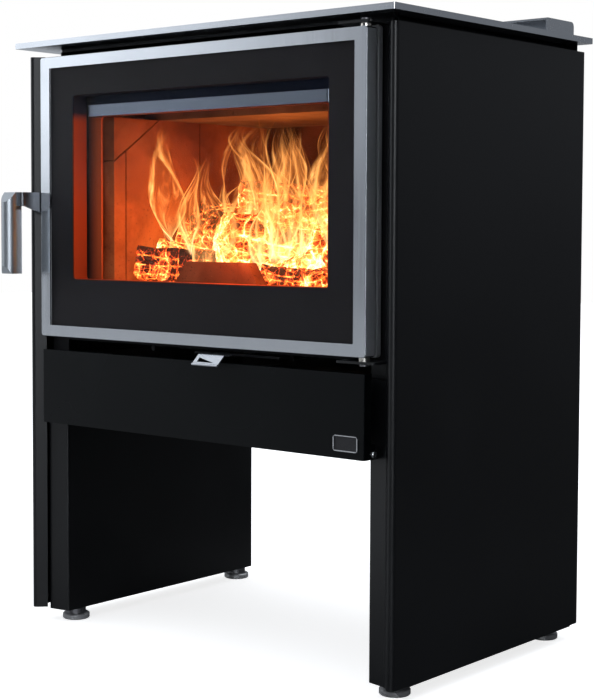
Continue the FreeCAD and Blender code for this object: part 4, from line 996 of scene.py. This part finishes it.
@dataclass
class Fire:
    """Ember bed, burning logs, chunks and flames in the firebox."""

    logs: tuple[Billet, ...] = (
        Billet(-0.112, 0.122, 0.530, 0.150, 0.029, 10.0, 3.0, 0.44, 70.0),
        Billet(0.005, 0.195, 0.548, 0.180, 0.047, 62.0, 9.0, 0.74, 200.0),
        Billet(0.000, 0.318, 0.545, 0.330, 0.040, 4.0, 0.0, 0.6, 250.0),
        Billet(-0.015, 0.255, 0.592, 0.310, 0.034, -13.0, -3.0, 0.52, 80.0),
        Billet(0.128, 0.185, 0.533, 0.125, 0.033, -48.0, -6.0, 0.52, 110.0),
        Billet(-0.105, 0.215, 0.545, 0.165, 0.036, 32.0, 8.0, 0.66, 160.0),
    )
    chunks: tuple[Billet, ...] = (
        Billet(0.082, 0.118, 0.514, 0.075, 0.019, 25.0, 6.0, 0.52, 60.0),
        Billet(-0.058, 0.150, 0.524, 0.090, 0.020, -38.0, 10.0, 0.84, 130.0),
        Billet(0.150, 0.112, 0.518, 0.060, 0.018, 74.0, -8.0, 0.45, 100.0),
        Billet(-0.160, 0.155, 0.545, 0.060, 0.020, 58.0, 12.0, 0.72, 10.0),
        Billet(0.060, 0.165, 0.530, 0.080, 0.018, -12.0, -12.0, 0.9, 300.0),
        Billet(0.165, 0.235, 0.545, 0.080, 0.022, 66.0, 10.0, 0.66, 220.0),
        Billet(0.110, 0.270, 0.580, 0.090, 0.024, -30.0, 14.0, 0.74, 20.0),
        Billet(-0.150, 0.112, 0.500, 0.070, 0.017, -20.0, 0.0, 0.5, 45.0),
        Billet(0.020, 0.122, 0.505, 0.085, 0.017, 8.0, 0.0, 0.82, 90.0),
        Billet(-0.100, 0.190, 0.582, 0.140, 0.026, -18.0, 12.0, 0.56, 40.0),
        Billet(-0.140, 0.260, 0.600, 0.110, 0.024, 38.0, -8.0, 0.5, 120.0),
        Billet(0.045, 0.210, 0.606, 0.150, 0.027, 14.0, -9.0, 0.62, 70.0),
        Billet(0.125, 0.225, 0.600, 0.120, 0.026, -24.0, 8.0, 0.6, 10.0),
        Billet(-0.030, 0.235, 0.626, 0.120, 0.022, 30.0, 6.0, 0.52, 200.0),
    )
    lump_count: int = 330
    lump_radius: tuple[float, float] = (0.007, 0.017)
    lump_stretch: tuple[float, float, float] = (1.15, 0.95, 0.75)
    lump_inset: float = 0.018
    flame_count: int = 26
    flame_height: tuple[float, float] = (0.13, 0.25)
    seed: int = 41
    box_margin: float = 0.004
    bed_grid: tuple[int, int] = (60, 120)
    coal_grid: tuple[int, int] = (7, 9)
    log_grid: tuple[int, int] = (150, 96)
    chunk_grid: tuple[int, int] = (60, 48)
    flame_grid: tuple[int, int] = (56, 18)
    bed_rim: float = 0.8
    end_share: float = 0.07
    rng: np.random.Generator = field(init=False)

    def __post_init__(self) -> None:
        """Reads the firebox's room from the frame and starts the seeded draws."""
        self.rng = np.random.default_rng(self.seed)
        bed_low, bed_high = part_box("ember_bed")
        self.half_width = bed_high.x
        self.front, self.rear = bed_low.y, bed_high.y
        self.hearth, self.bed_top = bed_low.z, bed_high.z
        self.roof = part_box("baffle_plate")[0].z
        self.plate_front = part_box("top_plate")[0].y

    def bed(self) -> bpy.types.Object:
        """Heaped ash under the coals.

        A point goes out from the middle to the rim and back underneath; its plan is a rounded square,
        and its height falls with the distance from the middle, with waves on it.

        Returns:
            The ash heap.
        """
        rows, columns = self.bed_grid
        out = np.linspace(0.0, 1.0, rows)[:, None]
        angle = np.linspace(0.0, TAU, columns, endpoint=False)[None, :]
        rim = self.bed_rim
        share = np.where(out < rim, out / rim, (1.0 - out) / 0.2)
        square = (np.abs(np.cos(angle)) ** 5 + np.abs(np.sin(angle)) ** 5) ** -0.2
        middle = 0.5 * (self.front + self.rear)
        half_depth = 0.5 * (self.rear - self.front)
        x = self.half_width * share * square * np.cos(angle)
        y = middle + half_depth * share * square * np.sin(angle)
        wave = 0.004 * (np.sin(70.0 * x + 2.0) * np.cos(60.0 * y) + np.sin(140.0 * x + 90.0 * y))
        rise = (self.bed_top - self.hearth) * (1.0 - share ** 5) - 0.006
        upper = self.hearth + np.maximum(rise + wave * (1.0 - share), 0.001)
        z = np.where(out < rim, upper, self.hearth + 0.0005)
        grid = np.stack([x + 0.0 * z, y + 0.0 * z, z], -1)[None]
        heat = np.clip(0.62 + 6.0 * wave + 0.2 * (1.0 - share), 0.0, 1.0) + 0.0 * z
        made = closed_surface("ember_ash_heap", grid[:, :, ::-1], {"fuel_heat": heat[None, :, ::-1]})
        return self.settle(made, EMBER_GLOW, "ember", "ember_bed")

    def coals(self) -> bpy.types.Object:
        """Loose coals on the heap.

        Each coal is a ball whose radius changes with three sine waves of its direction, flattened and
        turned at random; coals lie on the heap and are hotter towards its middle.

        Returns:
            The coals.
        """
        n, (rows, columns) = self.lump_count, self.coal_grid
        rng = self.rng
        polar = np.linspace(0.0, math.pi, rows)[None, :, None]
        angle = np.linspace(0.0, TAU, columns, endpoint=False)[None, None, :]
        phase = rng.uniform(0.0, TAU, (4, n, 1, 1))
        rough = (1.0 + 0.16 * np.sin(3.0 * angle + phase[0]) * np.sin(polar)
                 + 0.13 * np.cos(4.0 * polar + phase[1])
                 + 0.1 * np.sin(5.0 * angle + phase[2]) * np.sin(2.0 * polar))
        size = rng.uniform(*self.lump_radius, (n, 1, 1)) * rough
        long, wide, tall = self.lump_stretch
        shape = np.stack([size * np.sin(polar) * np.cos(angle) * long,
                          size * np.sin(polar) * np.sin(angle) * wide,
                          size * np.cos(polar) * tall + 0.0 * angle], -1)
        shape = turned(shape, rng.uniform(0.0, TAU, n), rng.uniform(-0.6, 0.6, n))
        x = rng.uniform(-1.0, 1.0, n)
        y = rng.uniform(0.0, 1.0, n)
        edge = np.maximum(np.abs(x), np.abs(2.0 * y - 1.0)) ** 6
        place = np.stack([x * (self.half_width - 0.02),
                          self.front + self.lump_inset + y * (self.rear - self.front - 0.036),
                          self.bed_top - 0.001 - 0.026 * edge + rng.uniform(-0.004, 0.009, n)], -1)
        grid = shape + place[:, None, None, :]
        front_cool = np.clip((0.5 - y) * 0.5, 0.0, 0.2) + 0.14 * (x > 0.45)
        base = np.clip(0.72 - front_cool + rng.normal(0.0, 0.16, n), 0.1, 1.0)
        heat = base[:, None, None] - 14.0 * np.clip(shape[..., 2], -0.01, 0.012)
        heat = np.clip(heat, 0.0, 1.0)[:, :, ::-1]
        made = closed_surface("ember_coals", grid[:, :, ::-1], {"fuel_heat": heat})
        return self.settle(made, EMBER_GLOW, "ember")

    def billets(self, name: str, items: Sequence[Billet], rows: int, columns: int) -> bpy.types.Object:
        """Split and charred billets.

        The outline is a circle with slow waves, cut flat on two split faces. Along the length the radius
        swells and shrinks, and shallow square cells of cracked char are sunk in. Each end is a face that
        closes at its middle.

        Args:
            name: The new object's name.
            items: The billets.
            rows: Points along each one.
            columns: Points round each one.

        Returns:
            The billets as one object.
        """
        values = {key: np.array([getattr(item, key) for item in items])[:, None, None] for key in
                  ("x", "depth", "z", "length", "radius", "yaw", "pitch", "heat", "split")}
        along = np.linspace(0.0, 1.0, rows)
        cap = self.end_share
        face = np.clip(np.minimum(along, 1.0 - along) / cap, 0.0, 1.0)[None, :, None]
        run = np.clip((along - cap) / (1.0 - 2.0 * cap), 0.0, 1.0)[None, :, None]
        angle = np.linspace(0.0, TAU, columns, endpoint=False)[None, None, :]
        split = np.radians(values["split"])
        radius, length = values["radius"], values["length"]
        outline = 1.0 + 0.07 * np.cos(2.0 * angle + split) + 0.05 * np.sin(3.0 * angle + 2.0 * split)
        for turn, flat in ((0.0, 0.62), (1.75, 0.7)):
            toward = np.cos(angle - split - turn)
            outline = np.where(toward > 0.05, np.minimum(outline, flat / np.maximum(toward, 0.05)), outline)
        swell = 1.0 + 0.05 * np.sin(5.0 * run + 3.0 * split) + 0.03 * np.sin(17.0 * run + split)
        bend = 0.25 * np.sin(6.0 * run + 3.0 * angle)
        ribs = np.abs(np.sin(5.5 * angle + 2.0 * bend + split))
        rings = np.abs(np.sin(length / radius * 5.0 * run + 3.0 * bend + 0.8 * np.sin(3.0 * angle)))
        crack = np.clip(1.0 - 5.0 * np.minimum(ribs, rings), 0.0, 1.0)
        fibre = 0.018 * np.sin(31.0 * angle + 4.0 * bend) + 0.012 * np.sin(53.0 * angle + 9.0 * run)
        deep = outline * swell * (1.0 + fibre) - 0.1 * crack
        reach = radius * deep * np.where(face < 1.0, face ** 0.55, 1.0)
        ends = 0.5 * length * (2.0 * run - 1.0) + 0.0 * angle
        jag = 0.06 * radius * np.sin(9.0 * angle + split) * (1.0 - face)
        ends = ends + np.sign(run - 0.5) * (1.0 - face) * 0.14 * radius + jag
        shape = np.stack([ends, reach * np.cos(angle), reach * np.sin(angle)], -1)
        shape = turned(shape, np.radians(values["yaw"][:, 0, 0]), np.radians(values["pitch"][:, 0, 0]))
        centre = np.stack([values["x"], values["depth"] + self.plate_front, values["z"]], -1)
        low = np.clip(0.5 - shape[..., 2] / (2.0 * radius), 0.0, 1.0)
        heat = values["heat"] - 0.25 + 0.28 * low + 0.38 * crack + 0.3 * (1.0 - face) - 0.1 * ribs
        made = closed_surface(name, shape + centre, {"fuel_heat": np.clip(heat + 0.0 * angle, 0.0, 1.0)})
        return self.settle(made, LOG_GLOW, "wood_log")

    def flames(self) -> bpy.types.Object:
        """Tongues of flame.

        Each tongue is a sheet. Its middle line rises and sways as two sine waves that grow with height;
        its width swells and then tapers to a tip; its cross line turns as it rises and its rims curl
        forward.

        Returns:
            The flames.
        """
        n, (rows, columns) = self.flame_count, self.flame_grid
        rng = self.rng
        up = np.linspace(0.0, 1.0, rows)[None, :, None]
        across = np.linspace(-1.0, 1.0, columns)[None, None, :]
        slots = (np.arange(n) + 0.5) / n
        x = ((slots - 0.5) * 2.0 * 0.82 * self.half_width + rng.uniform(-0.012, 0.012, n))
        depth = rng.uniform(0.02, 0.7, n)
        y = self.front + depth * (self.rear - self.front)
        base = self.bed_top + rng.uniform(0.005, 0.05, n) + 0.04 * depth
        height = np.minimum(rng.uniform(*self.flame_height, n), self.roof - base - self.box_margin)
        width = rng.uniform(0.014, 0.05, n)
        turn = rng.uniform(-0.5, 1.1, n)
        twist = rng.uniform(-1.3, 1.3, n)
        phase = rng.uniform(0.0, TAU, (4, n))
        sway = rng.uniform(0.016, 0.044, n)

        def each(values: np.ndarray) -> np.ndarray:
            """Gives per-tongue numbers the shape of the grids."""
            return values[:, None, None]

        lift = up ** 0.8
        drift = 0.8 * np.sin(each(phase[1]) + 4.0 * up)
        swing = each(sway) * lift * np.sin(each(phase[0]) + 5.2 * up + drift)
        sideways = 0.7 * each(sway) * lift * np.sin(each(phase[1]) + 3.6 * up)
        spread = each(width) * np.sin(math.pi * (0.1 + 0.88 * up ** 0.75)) ** 0.8
        spread = spread * (1.0 + 0.3 * np.sin(each(phase[2]) + 7.0 * up))
        heading = each(turn) + each(twist) * up + 0.35 * np.sin(each(phase[3]) + 6.0 * up)
        offset = across * spread
        curl = 0.55 * spread * across ** 2 + 0.25 * spread * np.sin(2.6 * across + each(phase[2]) + 5.0 * up)
        px = each(x) + swing + offset * np.cos(heading) + curl * np.sin(heading)
        py = each(y) + sideways + offset * np.sin(heading) - curl * np.cos(heading)
        pz = (each(base) + each(height) * up
              + 0.12 * spread * np.cos(3.0 * across + each(phase[3])) * up * (1.0 - up))
        px = np.clip(px, -self.half_width, self.half_width)
        py = np.clip(py, self.front - 0.01, self.rear)
        pz = np.minimum(pz, self.roof - self.box_margin)
        points = np.stack([px, py, pz], -1)
        made = self.sheets("flame_tongues", points, rng.uniform(0.0, 40.0, n))
        return self.settle(made, FLAME, "ember")

    def sheets(self, name: str, points: np.ndarray, seeds: np.ndarray) -> bpy.types.Object:
        """Makes one mesh of many open sheets with a flow UV map and a seed attribute.

        Args:
            name: The new object's name.
            points: Points as (sheet, row, column, xyz).
            seeds: One number per sheet.

        Returns:
            The object.
        """
        n, rows, columns, _ = points.shape
        row, column = np.meshgrid(np.arange(rows - 1), np.arange(columns - 1), indexing="ij")
        corner = row * columns + column
        quads = np.stack([corner, corner + 1, corner + columns + 1, corner + columns], -1).reshape(-1, 4)
        quads = (quads[None] + (np.arange(n) * rows * columns)[:, None, None]).reshape(-1, 4)
        mesh = bpy.data.meshes.new(name)
        mesh.from_pydata(points.reshape(-1, 3).tolist(), [], quads.tolist())
        level, side = np.meshgrid(np.linspace(0.0, 1.0, rows), np.linspace(0.0, 1.0, columns), indexing="ij")
        flat = np.tile(np.stack([side, level], -1).reshape(-1, 2), (n, 1))
        flow = flat[quads.reshape(-1)].reshape(-1).astype(np.float32)
        mesh.uv_layers.new(name="flow").data.foreach_set("uv", flow)
        layer = mesh.attributes.new("seed", "FLOAT", "POINT")
        layer.data.foreach_set("value", np.repeat(seeds, rows * columns).astype(np.float32))
        return link(name, mesh)

    def settle(self, made: bpy.types.Object, finish: Finish, slot: str, *nodes: str) -> bpy.types.Object:
        """Gives a fire piece its finish and its ride.

        Args:
            made: The piece.
            finish: Its finish.
            slot: The record's material slot; not used.
            nodes: CAD nodes that it stands for.

        Returns:
            The piece.
        """
        made.data.materials.append(finish.material())
        made.visible_glossy = False
        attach(made, STOVE_BODY)
        if nodes:
            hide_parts(*nodes)
        LOG.info("%s: %d points", made.name, len(made.data.vertices))
        return made

    def lights(self) -> None:
        """Warm lights over the embers, one behind the glass for the jamb."""
        middle = 0.5 * (self.front + self.rear)
        spots = (("fire_light_core", (0.02, middle - 0.02, self.bed_top + 0.13), 1.9, 0.09,
                  (1.0, 0.32, 0.08)),
                 ("fire_light_left", (-0.11, middle - 0.05, self.bed_top + 0.09), 1.5, 0.05,
                  (1.0, 0.28, 0.065)),
                 ("fire_light_jamb", (0.06, self.plate_front + 0.031, self.bed_top + 0.075), 1.1, 0.012,
                  (1.0, 0.26, 0.06)),
                 ("fire_light_rim_left", (-0.125, self.plate_front + 0.034, self.bed_top + 0.1), 0.3, 0.015,
                  (1.0, 0.28, 0.06)),
                 ("fire_light_rim_right", (0.125, self.plate_front + 0.034, self.bed_top + 0.1), 0.3, 0.015,
                  (1.0, 0.28, 0.06)))
        for name, place, power, radius, colour in spots:
            data = bpy.data.lights.new(name, "POINT")
            data.energy, data.shadow_soft_size, data.color = power, radius, colour
            lamp = bpy.data.objects.new(name, data)
            lamp.location = place
            lamp.visible_camera = lamp.visible_glossy = lamp.visible_transmission = False
            bpy.context.scene.collection.objects.link(lamp)

    def build(self) -> None:
        """Builds the whole fire."""
        self.bed()
        self.coals()
        logs = self.billets("burning_logs", self.logs, *self.log_grid)
        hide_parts("logs")
        self.billets("burning_chunks", self.chunks, *self.chunk_grid)
        self.flames()
        self.lights()


# ---------------------------------------------------------------- sub-assemblies
class SubAssembly:
    """A sub-assembly that dresses its CAD nodes and builds its own new pieces."""

    title: ClassVar[str]
    finishes: ClassVar[dict[Finish, tuple[str, ...]]]

    def dress(self, nodes: dict[str, bpy.types.Object]) -> None:
        """Assigns each node's material slots.

        Args:
            nodes: The frame's nodes by name.
        """
        for finish, names in self.finishes.items():
            for name in names:
                node = nodes[name]
                if not node.material_slots:
                    node.data.materials.append(None)
                for slot in node.material_slots:
                    slot.material = finish.material()
                LOG.info("%s: %s is %s", self.title, name, finish.name)

    def build(self) -> None:
        """Builds the new pieces; most sub-assemblies have none."""


class Cabinet(SubAssembly):
    """Top plate, panels, legs, feet and the brackets that carry the door and the flap."""

    title = "cabinet"
    finishes = {
        TOP_STEEL: ("top_plate", "rear_hood"),
        BLACK_PANEL: ("side_panel_right", "side_panel_left", "rear_heat_shield", "convection_casing"),
        BLACK_LEG: ("leg_right", "leg_left"),
        DARK_STEEL: ("shield_screws", "flue_collar_bolts", "foot_lock_collars", "hinge_pins",
                     "latch_catch"),
        COOL_STEEL: ("flue_collar",),
        BRASS: ("hinge_washers",),
        FOOT_ZINC: ("foot_front_right", "foot_front_left", "foot_rear_right", "foot_rear_left"),
        BRACKET_PAINT: ("hinge_bracket_lower", "hinge_bracket_upper", "flap_pivot_brackets"),
    }


class Firebox(SubAssembly):
    """Welded box, its brick lining, grate, ash pan and air control."""

    title = "firebox"
    finishes = {
        MOUTH_PLATE: ("firebox_front_plate",),
        HOT_STEEL: ("firebox_floor", "firebox_wall_right", "firebox_wall_left", "firebox_back",
                    "firebox_top"),
        COOL_STEEL: ("ash_box",),
        BRICK: ("firebricks_right", "firebricks_left", "firebricks_floor"),
        REAR_BRICK: ("firebricks_back",),
        STOP_BRICK: ("log_stop_brick",),
        VERMICULITE: ("baffle_plate",),
        CAST_IRON: ("grate",),
        WASH_STEEL: ("air_wash_bar",),
        BLACK_PLAIN: ("ash_pan", "damper_guide", "air_damper"),
        TAB_STEEL: ("air_control_tab",),
    }


@dataclass
class Door(SubAssembly):
    """Steel frame, pan, glass and seals, with the black enamel border fired onto the rear of the glass."""

    title: ClassVar[str] = "door"
    finishes: ClassVar[dict[Finish, tuple[str, ...]]] = {
        FRAME_STEEL: ("door_frame",),
        PAN_STEEL: ("door_rear_pan",),
        COOL_STEEL: ("door_core_plate",),
        GLASS: ("door_glass",),
        PRINT: ("glass_border_print",),
        ROPE: ("glass_gasket", "door_rope_seal"),
        DARK_STEEL: ("door_spacers", "glass_clips", "door_hinge_blocks", "handle_bush"),
    }
    side_border: float = 0.045
    bottom_border: float = 0.069
    top_border: float = 0.042
    window_corner: float = 0.004
    glass_corner: float = 0.001
    stand_off: float = 0.00012
    corner_steps: int = 8

    def build(self) -> None:
        """Builds the enamel border: a flat ring whose inner outline is the clear window."""
        low, high = (np.array(corner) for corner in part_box("glass_border_print"))
        outer_low, outer_high = low[[0, 2]], high[[0, 2]]
        inner_low = outer_low + np.array([self.side_border, self.bottom_border])
        inner_high = outer_high - np.array([self.side_border, self.top_border])
        outer = self.outline(outer_low, outer_high, self.glass_corner)
        inner = self.outline(inner_low, inner_high, self.window_corner)
        front, rear = low[1] + self.stand_off, high[1]
        corners = [(inner, front), (outer, front), (outer, rear), (inner, rear)]
        loops = np.stack([np.stack([line[:, 0], np.full(len(line), y), line[:, 1]], -1)
                          for line, y in corners], 1)
        made = ring_surface("window_border_enamel", loops)
        made.data.materials.append(PRINT.material())
        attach(made, "door")
        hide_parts("glass_border_print")
        LOG.info("%s: %d points", made.name, len(made.data.vertices))

    def outline(self, low: np.ndarray, high: np.ndarray, corner: float) -> np.ndarray:
        """Draws a rounded rectangle between two corners.

        Args:
            low: Its lower left corner.
            high: Its upper right corner.
            corner: Its corner radius.

        Returns:
            The points as (point, xz).
        """
        return rounded_outline(0.5 * (high - low), corner, self.corner_steps) + 0.5 * (high + low)


class Handle(SubAssembly):
    """Lifting handle: arm, grip and shaft."""

    title = "handle"
    finishes = {ARM_STEEL: ("handle_arm",), GRIP_STEEL: ("handle_grip",), PINS_CHROME: ("handle_shaft",)}


class Flap(SubAssembly):
    """Ash-pan flap with its pivot pins and its blank badge."""

    title = "flap"
    finishes = {FLAP_PAINT: ("flap_panel",), PINS_CHROME: ("flap_pivot_pins",), BADGE: ("badge",)}


# ---------------------------------------------------------------- studio
@dataclass
class Studio:
    """Pale floor, soft light and camera."""

    camera_place: Colour = (1.43789, -1.72713, 0.58692)
    camera_turn: Colour = (0.16, 3.16, 40.66)
    lens: float = 80.895
    shift: tuple[float, float] = (0.0470, -0.0535)
    floor_half: float = 9.0
    floor_colour: Colour = (0.82, 0.82, 0.83)
    floor_lift: Colour = (0.76, 0.76, 0.76)
    tone: Colour = (0.95, 0.99, 1.04)
    key_direction: tuple[float, float] = (-0.92, -0.39)
    key_strength: float = 2.0
    top_strength: float = 1.1
    fill_strength: float = 0.17
    strip_direction: tuple[float, float] = (0.64, -0.77)
    strip_strength: float = 8.0
    fill_direction: tuple[float, float] = (0.72, 0.69)
    sensor: float = 36.0
    clear_bounces: int = 24
    dim: Colour = (0.058, 0.062, 0.073)

    def camera(self) -> None:
        """Camera at its measured place."""
        roll, dip, heading = (math.radians(a) for a in self.camera_turn)
        data = bpy.data.cameras.new("stove_camera")
        data.lens, data.sensor_width, data.sensor_fit = self.lens, self.sensor, "AUTO"
        data.shift_x, data.shift_y = self.shift
        data.clip_start, data.clip_end = 0.05, 100.0
        made = bpy.data.objects.new("stove_camera", data)
        turn = (Matrix.Rotation(heading, 4, "Z") @ Matrix.Rotation(math.radians(90.0) - dip, 4, "X")
                @ Matrix.Rotation(roll, 4, "Z"))
        made.matrix_world = Matrix.Translation(Vector(self.camera_place)) @ turn
        bpy.context.scene.collection.objects.link(made)
        bpy.context.scene.camera = made

    def floor(self) -> None:
        """Plain pale floor that fades into the white surroundings; other surfaces see it with a painted pool
        of key light, brighter towards the front left and darker behind.
        """
        half = self.floor_half
        mesh = bpy.data.meshes.new("studio_floor")
        mesh.from_pydata([(-half, -half, 0.0), (half, -half, 0.0), (half, half, 0.0), (-half, half, 0.0)], [],
                         [(0, 1, 2, 3)])
        made = bpy.data.objects.new("studio_floor", mesh)
        bpy.context.scene.collection.objects.link(made)
        made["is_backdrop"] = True
        material = bpy.data.materials.new("pale_floor")
        material.use_nodes = True
        graph = Graph(material.node_tree)
        graph.tree.nodes.clear()
        diffuse = graph.add("ShaderNodeBsdfDiffuse", {"Color": paint(self.floor_colour)})
        axes = graph.axes(graph.add("ShaderNodeTexCoord").outputs["Object"])
        # Painted light: for rays other than camera rays the floor's colour brightens towards the key light, a
        # painted pool of light.
        level = graph.span(self.along(graph, axes, *self.key_direction), -0.5, 1.0, 0.07, 0.6, smooth=True)
        painted_pool_floor = graph.add("ShaderNodeBsdfDiffuse", {"Color": level})
        lifted = graph.add("ShaderNodeEmission", {"Color": paint(self.floor_lift)})
        joined = graph.add("ShaderNodeAddShader", {0: diffuse.outputs[0], 1: lifted.outputs[0]})
        seen = graph.add("ShaderNodeLightPath").outputs["Is Camera Ray"]
        mixed = graph.add("ShaderNodeMixShader", {0: seen, 1: painted_pool_floor.outputs[0], 2: joined.outputs[0]})
        graph.put(graph.add("ShaderNodeOutputMaterial"), "Surface", mixed.outputs[0])
        mesh.materials.append(material)

    def along(self, graph: Graph, axes: Any, x: float, y: float) -> Socket:
        """Says how far a direction points one way on the level.

        Args:
            graph: The world's graph.
            axes: The direction's three numbers.
            x: The way's share along x.
            y: The way's share along y.

        Returns:
            The length along that way.
        """
        return graph.scaled(axes[0], x, graph.times(axes[1], y))

    def light(self) -> None:
        """Soft surroundings: bright panel front left, bright top, dim sides; white where seen.

        A strip towards the camera is met by mirror-like rays only, so it draws edges and lights nothing.
        """
        world = bpy.data.worlds.new("studio_light")
        bpy.context.scene.world = world
        world.use_nodes = True
        graph = Graph(world.node_tree)
        graph.tree.nodes.clear()
        axes = graph.axes(graph.add("ShaderNodeTexCoord").outputs["Generated"])
        toward = self.along(graph, axes, *self.key_direction)
        panel = graph.times(graph.span(toward, 0.82, 0.98, smooth=True),
                            graph.span(axes[2], -0.005, 0.04, smooth=True))
        away = self.along(graph, axes, *self.fill_direction)
        above = graph.span(axes[2], -0.03, 0.08, smooth=True)
        fill = graph.times(graph.times(graph.span(away, 0.2, 0.95, smooth=True), above),
                           self.fill_strength)
        frontal = self.along(graph, axes, *self.strip_direction)
        strip = graph.times(graph.span(frontal, 0.93, 0.985, smooth=True),
                            graph.span(axes[2], -0.01, 0.06, smooth=True))
        path = graph.add("ShaderNodeLightPath").outputs
        strip = graph.times(strip, path["Is Glossy Ray"])
        fill = graph.scaled(strip, self.strip_strength, fill)
        wide = graph.times(graph.span(toward, -0.2, 0.9, smooth=True),
                           graph.span(axes[2], 0.12, 0.5, smooth=True))
        top = graph.span(axes[2], 0.35, 0.95, smooth=True)
        level = graph.scaled(panel, self.key_strength, graph.times(wide, 0.45))
        level = graph.plus(graph.scaled(top, self.top_strength, level), fill)
        colour = graph.blend(1.0, self.dim, graph.blend(1.0, level, self.tone, "MULTIPLY"), "ADD")
        seen = graph.add("ShaderNodeLightPath").outputs["Is Camera Ray"]
        soft = graph.add("ShaderNodeBackground", {"Color": colour})
        white = graph.add("ShaderNodeBackground", {"Color": (1.0, 1.0, 1.0, 1.0)})
        mixed = graph.add("ShaderNodeMixShader", {0: seen, 1: soft.outputs[0], 2: white.outputs[0]})
        graph.put(graph.add("ShaderNodeOutputWorld"), "Surface", mixed.outputs[0])

    def build(self) -> None:
        """Builds the studio."""
        self.camera()
        self.floor()
        self.light()
        scene = bpy.context.scene
        scene.view_settings.view_transform = "Standard"
        scene.cycles.transparent_max_bounces = self.clear_bounces


def plain_bounds() -> list[list[float]]:
    """Gives the object's box as plain lists.

    Returns:
        The lowest and the highest corner.
    """
    return [[float(value) for value in corner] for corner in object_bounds()]


def main() -> list[list[float]]:
    """Builds everything in order.

    Returns:
        The box of the frame before anything was added.
    """
    logging.basicConfig(level=logging.INFO, format="%(name)s: %(message)s")
    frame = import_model()
    before = plain_bounds()
    Effects().build()
    for assembly in (Cabinet(), Firebox(), Door(), Handle(), Flap()):
        assembly.dress(frame["nodes"])
        assembly.build()
    Fire().build()
    Studio().build()
    LOG.info("studio: floor, light and camera")
    return before


if __name__ == "__main__":
    first_box = main()
